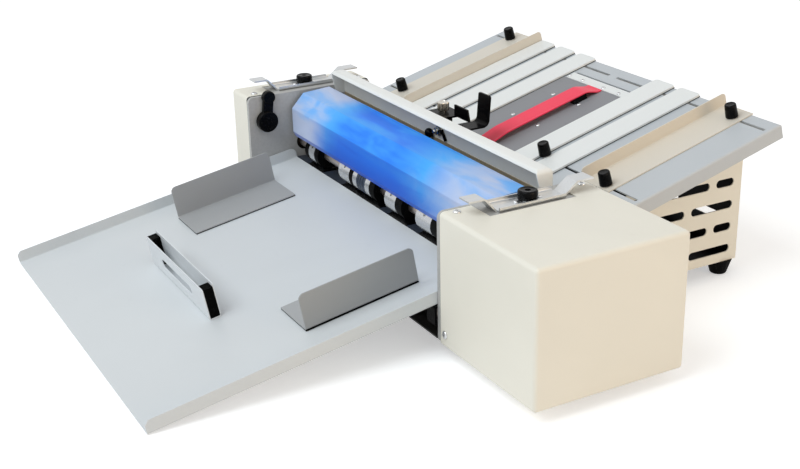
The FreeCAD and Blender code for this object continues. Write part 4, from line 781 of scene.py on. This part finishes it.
class CREASER_OT_thumbscrews(bpy.types.Operator):
    """Models the tapered black thumbscrews of the feed table"""
    bl_idname = "creaser.thumbscrews"
    bl_label = "Thumbscrews"

    def execute(self, context):
        sizes = context.scene.creaser_hardware
        right, left, slat = 244.7, -262.8, 117.0
        front, rear = 57.0, 261.0
        guide_seat, slat_seat = 1.8, 4.0
        places = {
            "right_front_thumbscrew": ("right_front_screw", on_table(right, front, 0.0), guide_seat),
            "right_rear_thumbscrew": ("right_rear_screw", on_table(right, rear, 0.0), guide_seat),
            "left_front_thumbscrew": ("left_front_screw", on_table(left, front, 0.0), guide_seat),
            "left_rear_thumbscrew": ("left_rear_screw", on_table(left, rear, 0.0), guide_seat),
            "slat_thumbscrew": ("slat_screw", on_table(slat, front, 0.0), slat_seat),
        }
        for node, (body, place, seat) in places.items():
            screw = self.thumbscrew(sizes, seat)
            screw = copies(screw, node.replace("thumbscrew", "knob"), [place])
            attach(screw, body)
            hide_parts(node)
        return {"FINISHED"}

    def thumbscrew(self, sizes, seat):
        """Knob on a steel washer, its shank through the slot and a nut under the table."""
        play, washer_thickness = 0.3, 0.8
        shank_radius, shank_end = 2.0, -5.0
        low = seat + play
        knob_low = low + washer_thickness
        base = sizes.thumb_base / 2
        top = sizes.thumb_top / 2
        high = knob_low + sizes.thumb_height
        washer_radius = base - 1.2
        knob = turned_piece("knob", [
            (washer_radius, knob_low), (base - 0.3, low + 1.0), (base, low + 1.8), (base - 0.1, low + 3.4),
            (top + 0.15, high - 2.6), (top, high - 1.2), (top - 0.45, high - 0.4), (top - 1.2, high),
            (top - 2.2, high), (top - 2.6, high - 0.3), (top - 4.0, high - 0.45)], sides=40)
        coated(smooth(knob, angle=40.0), finish_of("black_plastic"))
        washer = turned_piece("washer", [(washer_radius, low), (washer_radius, knob_low)], sides=40)
        shank = turned_piece("shank", [(shank_radius, shank_end), (shank_radius, knob_low)], sides=16)
        nut = turned_piece("nut", [(5.2, -5.3), (6.0, -4.9), (6.0, -2.7), (5.2, -2.3)], sides=6)
        for part in (washer, shank, nut):
            coated(part, finish_of("screw_steel"))
        return joined("thumbscrew", knob, washer, shank, nut)


class CREASER_OT_channel_knobs(bpy.types.Operator):
    """Models the round knobs on the top channels, with their hexagon sockets"""
    bl_idname = "creaser.channel_knobs"
    bl_label = "Channel Knobs"

    def execute(self, context):
        sizes = context.scene.creaser_hardware
        row, seat = 103.0, 180.8
        knobs = {"drive_channel_knob": ("drive_knob", 1), "far_channel_knob": ("far_knob", -1)}
        for node, (body, side) in knobs.items():
            knob = self.knob(sizes)
            place = at(side * CHANNEL_LINE, row, seat)
            knob = copies(knob, node.replace("channel_knob", "round_knob"), [place])
            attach(knob, body)
            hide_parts(node)
        return {"FINISHED"}

    def knob(self, sizes):
        """Knob on a steel washer, with a hexagon socket and a shank below."""
        radius = sizes.knob / 2
        body = turned_piece("body", [
            (radius - 1.0, 1.2), (radius - 0.2, 1.5), (radius, 2.2), (radius, 9.6), (radius - 0.25, 10.8),
            (radius - 0.9, 11.7), (radius - 1.8, 12.2), (radius - 3.0, 12.2), (radius - 3.6, 11.7),
            (radius - 5.0, 11.5)], sides=48)
        socket = turned_piece("socket", [(4.0, 5.6), (4.0, 14.0)], sides=6)
        coated(smooth(cut_away(body, socket), angle=40.0), finish_of("black_plastic"))
        washer = turned_piece("washer", [(8.6, 0.0), (9.0, 0.2), (9.0, 1.2)], sides=40)
        shank = turned_piece("shank", [(3.9, -12.0), (3.9, 1.2)], sides=16)
        for part in (washer, shank):
            coated(part, finish_of("screw_steel"))
        return joined("knob", body, washer, shank)


class CREASER_OT_knurled_screw(bpy.types.Operator):
    """Models the separator's nickel screw with its knurled rim"""
    bl_idname = "creaser.knurled_screw"
    bl_label = "Knurled Screw"

    def execute(self, context):
        ridges = context.scene.creaser_hardware.knurls
        shank, neck, rim = 3.0, 6.0, 8.0
        place = at(-24.0, 183.0, 190.8)
        screw = turned_piece("screw", [
            (2.8, -12.0), (shank, -11.6), (shank, 0.0), (neck, 0.0), (neck, 1.8), (7.2, 2.2), (rim, 2.9),
            (rim, 5.3), (rim, 7.7), (rim, 10.1), (rim, 12.6), (7.4, 13.4), (6.4, 13.9), (5.0, 13.9),
            (4.6, 13.4), (3.0, 13.3)], sides=ridges * 2)
        self.knurl(screw, ridges, rim)
        screw = coated(smooth(screw, angle=24.0), finish_of("nickel"))
        screw = copies(screw, "knurled_nickel_screw", [place])
        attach(screw, "pad_screw")
        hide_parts("knurled_screw")
        return {"FINISHED"}

    def knurl(self, screw, ridges, rim):
        """Draws in every second line of points round the rim."""
        drawn_share, rim_slack = 0.93, 0.1

        def drawn_in(place):
            turn = math.atan2(place.y, place.x) / (2 * math.pi) * ridges * 2
            return math.hypot(place.x, place.y) > rim - rim_slack and round(turn) % 2 == 0

        pick_points(screw, drawn_in)
        bpy.ops.transform.resize(value=(drawn_share, drawn_share, 1.0), center_override=(0.0, 0.0, 0.0))
        bpy.ops.object.mode_set(mode="OBJECT")


class CREASER_OT_set_screws(bpy.types.Operator):
    """Models the small socket screws that fix the collars on the upper shaft"""
    bl_idname = "creaser.set_screws"
    bl_label = "Set Screws"

    def execute(self, context):
        screw = turned_piece("set_screw", [(2.1, -3.0), (2.1, -0.2), (1.8, 0.15)], sides=24)
        socket = turned_piece("socket", [(1.1, -1.6), (1.1, 1.0)], sides=6)
        coated(smooth(cut_away(screw, socket), angle=30.0), finish_of("black_plastic"))
        shaft_row, shaft_height, collar_radius = 86.0, 100.5, 18.7
        tilt = Matrix.Rotation(math.radians(58.0), 4, "X")
        out = Matrix.Translation((0.0, 0.0, collar_radius * MM))
        places = [at(x, shaft_row, shaft_height) @ tilt @ out for x in (-205.0, -101.5, 31.0, 117.5)]
        screws = copies(screw, "set_screws", places)
        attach(screws, "upper_rollers")
        return {"FINISHED"}


class CREASER_OT_beam_bolts(bpy.types.Operator):
    """Models the bolt, the round black nut and the small latch on the front of the beam's web"""
    bl_idname = "creaser.beam_bolts"
    bl_label = "Beam Bolts"

    def execute(self, context):
        web_face = 155.0
        nut = self.nut(at(-5.0, web_face, 171.5) @ FACING_FRONT)
        bolt = self.bolt(at(13.0, web_face, 178.5) @ FACING_FRONT)
        latch = self.latch(26.0, web_face, 175.0)
        for piece in (nut, bolt, latch):
            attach(piece, "frame")
        return {"FINISHED"}

    def nut(self, place):
        """Rounded nut with a neck."""
        nut = turned_piece("nut", [
            (2.6, 0.0), (2.6, 2.0), (5.0, 2.2), (6.2, 3.6), (6.6, 5.6), (6.3, 7.8), (5.2, 9.6), (3.4, 10.7),
            (1.6, 11.0)], sides=32)
        return coated(copies(smooth(nut, angle=40.0), "round_nut", [place]), finish_of("black_plastic"))

    def bolt(self, place):
        """Hexagon nut on a washer, with the stud's end in front of it."""
        washer_top = 1.4
        head = turned_piece("head", [(5.4, washer_top), (5.8, 1.8), (5.8, 5.4), (5.3, 6.0), (3.4, 6.2)],
                            sides=6)
        washer = turned_piece("washer", [(7.4, 0.0), (7.6, 0.2), (7.6, 1.2), (7.4, washer_top)], sides=36)
        stud = turned_piece("stud", [(3.0, washer_top), (3.0, 9.4), (2.5, 10.0)], sides=24)
        bolt = joined("bolt", head, washer, stud)
        return coated(copies(bolt, "pivot_bolt", [place]), finish_of("nickel"))

    def latch(self, x, face, z):
        """Small bar that lies against the web, leaning to one side."""
        half_breadth, half_thickness, half_length, edge = 2.2, 1.5, 8.0, 0.5
        lean = Matrix.Rotation(math.radians(-40.0), 4, "Y")
        place = at(x, face - half_thickness, z) @ lean
        latch = box_piece("latch", (-half_breadth, -half_thickness, -half_length),
                          (half_breadth, half_thickness, half_length), edge)
        return coated(copies(latch, "small_latch", [place]), finish_of("black_coat"))


class CREASER_OT_beam(bpy.types.Operator):
    """Models the cross beam: a sheet hood with rounded ends and leaning cheeks, and the web below it"""
    bl_idname = "creaser.beam"
    bl_label = "Cross Beam"

    def execute(self, context):
        half = half_width("cross_beam")
        front, rear = 134.0, 157.0
        web_bottom, cheek_bottom, top = 160.0, 165.0, 201.0
        sheet, lip, edge = 2.0, 5.0, 0.5
        outer_round, inner_round = 7.0, 5.0
        hood = self.round_top("hood", half, front, rear, cheek_bottom, top, outer_round)
        inside = self.round_top("inside", half - sheet, front + sheet, rear - sheet, cheek_bottom - OVERRUN,
                                top - sheet, inner_round)
        cut_away(hood, inside)
        cut_away(hood, box_piece("mouth", (sheet - half, front - OVERRUN, cheek_bottom - OVERRUN),
                                 (half - sheet, rear - sheet, top - lip)))
        self.lean_cheeks(hood, half, front, cheek_bottom, top - lip)
        web = box_piece("web", (-half, rear - sheet, web_bottom), (half, rear, cheek_bottom))
        beam = joined("beam_sheet", hood, web)
        apply_modifier(beam, "BEVEL", width=edge * MM, segments=3, limit_method="ANGLE",
                       angle_limit=math.radians(50.0))
        beam = copies(smooth(beam, angle=40.0), "beam_sheet", [at(0.0, 0.0, 0.0)])
        coated(beam, finish_of("beam_coat"))
        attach(beam, "frame")
        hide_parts("cross_beam")
        return {"FINISHED"}

    def lean_cheeks(self, hood, half, front, bottom, top):
        """Cuts the front edges of the cheeks to a slope that runs back on its way down."""
        run, drop = 8.0, 31.0
        block_depth, block_drop = 30.0, 20.0
        lean = box_piece("lean", (-half - OVERRUN, front - block_depth, bottom - block_drop),
                         (half + OVERRUN, front, top))
        choose(lean)
        bpy.ops.transform.rotate(value=math.atan2(-run, drop), orient_axis="X",
                                 center_override=(0.0, front * MM, top * MM))
        bpy.ops.object.transform_apply(location=True, rotation=True, scale=True)
        cut_away(hood, lean)

    def round_top(self, name, half, front, rear, bottom, top, radius):
        """Block with its two upper ends rounded."""
        block = box_piece(name, (-half, front, bottom), (half, rear, top))
        pick_points(block, lambda place: place.z > top - NEAR)
        bpy.ops.mesh.select_mode(type="EDGE")
        bpy.ops.object.mode_set(mode="OBJECT")
        for edge in block.data.edges:
            ends = [block.data.vertices[i].co / MM for i in edge.vertices]
            edge.select = all(end.z > top - NEAR for end in ends) and abs(ends[0].x - ends[1].x) < NEAR
        bpy.ops.object.mode_set(mode="EDIT")
        bpy.ops.mesh.bevel(offset=radius * MM, segments=8)
        bpy.ops.object.mode_set(mode="OBJECT")
        return block


class CREASER_OT_sheets(bpy.types.Operator):
    """Models the slotted upper guide, the lifting ramp and the separator's lever from bent sheet"""
    bl_idname = "creaser.sheets"
    bl_label = "Bent Sheets"

    def execute(self, context):
        self.guide()
        self.ramp()
        self.lever()
        return {"FINISHED"}

    def guide(self):
        half = half_width("upper_guide")
        path = [(114.0, 116.0), (155.0, 160.0), (155.0, 166.5)]
        sheet, bend = 1.2, 1.0
        pitch, slot_half = 62.0, 17.0
        slot_front, slot_rear = 136.6, 146.8
        cut_bottom, cut_top = 112.0, 160.0
        guide = sheet_piece("guide", -half, half, path, sheet, bend)
        for i in range(-3, 4):
            middle = i * pitch
            cut_away(guide, box_piece("slot", (middle - slot_half, slot_front, cut_bottom),
                                      (middle + slot_half, slot_rear, cut_top)))
        guide = copies(smooth(guide), "slotted_guide", [at(0.0, 0.0, 0.0)])
        coated(guide, finish_of("guide_steel"))
        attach(guide, "frame")
        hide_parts("upper_guide")

    def ramp(self):
        left, right = -5.5, 25.5
        seat, crest = 1.2, 9.2
        strip, bend, corner = 1.5, 6.0, 1.5
        path = [(3.0, seat), (9.0, seat), (60.0, crest), (197.0, crest), (215.0, seat), (221.0, seat)]
        ramp = sheet_piece("ramp", left, right, path, strip, bend, corner)
        ramp = copies(smooth(ramp), "red_ramp", [on_table(0.0, 0.0, 0.0)])
        coated(ramp, finish_of("red_strip"))
        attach(ramp, "ramp")
        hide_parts("lifting_ramp")

    def lever(self):
        left, right = 4.0, 32.0
        pivot, underside = 164.6, 177.0
        sheet, bend, corner = 2.5, 9.0, 3.0
        eye_radius = 4.5
        path = [(pivot, underside), (220.5, underside), (224.0, 219.0)]
        tab = sheet_piece("tab", left, right, path, sheet, bend, corner)
        eye = turned_piece("eye", [(eye_radius, left), (eye_radius, right)], sides=32)
        choose(eye)
        bpy.ops.transform.rotate(value=math.radians(-90.0), orient_axis="Y",
                                 center_override=(0.0, 0.0, 0.0))
        bpy.ops.transform.translate(value=(0.0, pivot * MM, (underside + sheet / 2) * MM))
        bpy.ops.object.transform_apply(location=True, rotation=True, scale=True)
        lever = joined("lever", tab, eye)
        lever = copies(smooth(lever), "finger_lever", [at(0.0, 0.0, 0.0)])
        coated(lever, finish_of("black_coat"))
        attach(lever, "lever")
        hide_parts("separator_lever")


class CREASER_OT_inlet_pins(bpy.types.Operator):
    """Models the three contact blades inside the power inlet"""
    bl_idname = "creaser.inlet_pins"
    bl_label = "Inlet Pins"

    def execute(self, context):
        half_breadth, half_depth, half_height, edge = 1.0, 5.0, 2.0, 0.5
        inlet_line, inlet_row, inlet_height = 434.0, 190.5, 60.0
        blade = box_piece("blade", (-half_breadth, -half_depth, -half_height),
                          (half_breadth, half_depth, half_height), edge)
        coated(blade, finish_of("screw_steel"))
        places = [at(inlet_line + x, inlet_row, inlet_height + z)
                  for x, z in ((-5.0, -1.5), (5.0, -1.5), (0.0, 2.5))]
        pins = copies(blade, "inlet_pins", places)
        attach(pins, "frame")
        return {"FINISHED"}


class CREASER_PT_panel(bpy.types.Panel):
    """Lists the pieces and their settings"""
    bl_idname = "CREASER_PT_panel"
    bl_label = "Paper Creasing Machine"
    bl_space_type = "VIEW_3D"
    bl_region_type = "UI"
    bl_category = "Creaser"

    def draw(self, context):
        column = self.layout.column()
        for operator in OPERATORS:
            column.operator(operator.bl_idname)
        for settings in ("creaser_paints", "creaser_hardware", "creaser_stage"):
            group = getattr(context.scene, settings)
            for name in group.__annotations__:
                column.prop(group, name)


OPERATORS = (
    CREASER_OT_stage, CREASER_OT_finishes, CREASER_OT_screws, CREASER_OT_thumbscrews,
    CREASER_OT_channel_knobs, CREASER_OT_knurled_screw, CREASER_OT_set_screws, CREASER_OT_beam,
    CREASER_OT_sheets, CREASER_OT_beam_bolts, CREASER_OT_inlet_pins,
)
SETTINGS = (CreaserPaints, CreaserHardware, CreaserStage)


def register():
    for kind in SETTINGS + OPERATORS + (CREASER_PT_panel,):
        bpy.utils.register_class(kind)
    bpy.types.Scene.creaser_paints = PointerProperty(type=CreaserPaints)
    bpy.types.Scene.creaser_hardware = PointerProperty(type=CreaserHardware)
    bpy.types.Scene.creaser_stage = PointerProperty(type=CreaserStage)


def unregister():
    del bpy.types.Scene.creaser_stage
    del bpy.types.Scene.creaser_hardware
    del bpy.types.Scene.creaser_paints
    for kind in reversed(SETTINGS + OPERATORS + (CREASER_PT_panel,)):
        bpy.utils.unregister_class(kind)


def main():
    register()
    for operator in OPERATORS:
        group, name = operator.bl_idname.split(".")
        getattr(getattr(bpy.ops, group), name)()
    clear_selection()


if __name__ == "__main__":
    main()
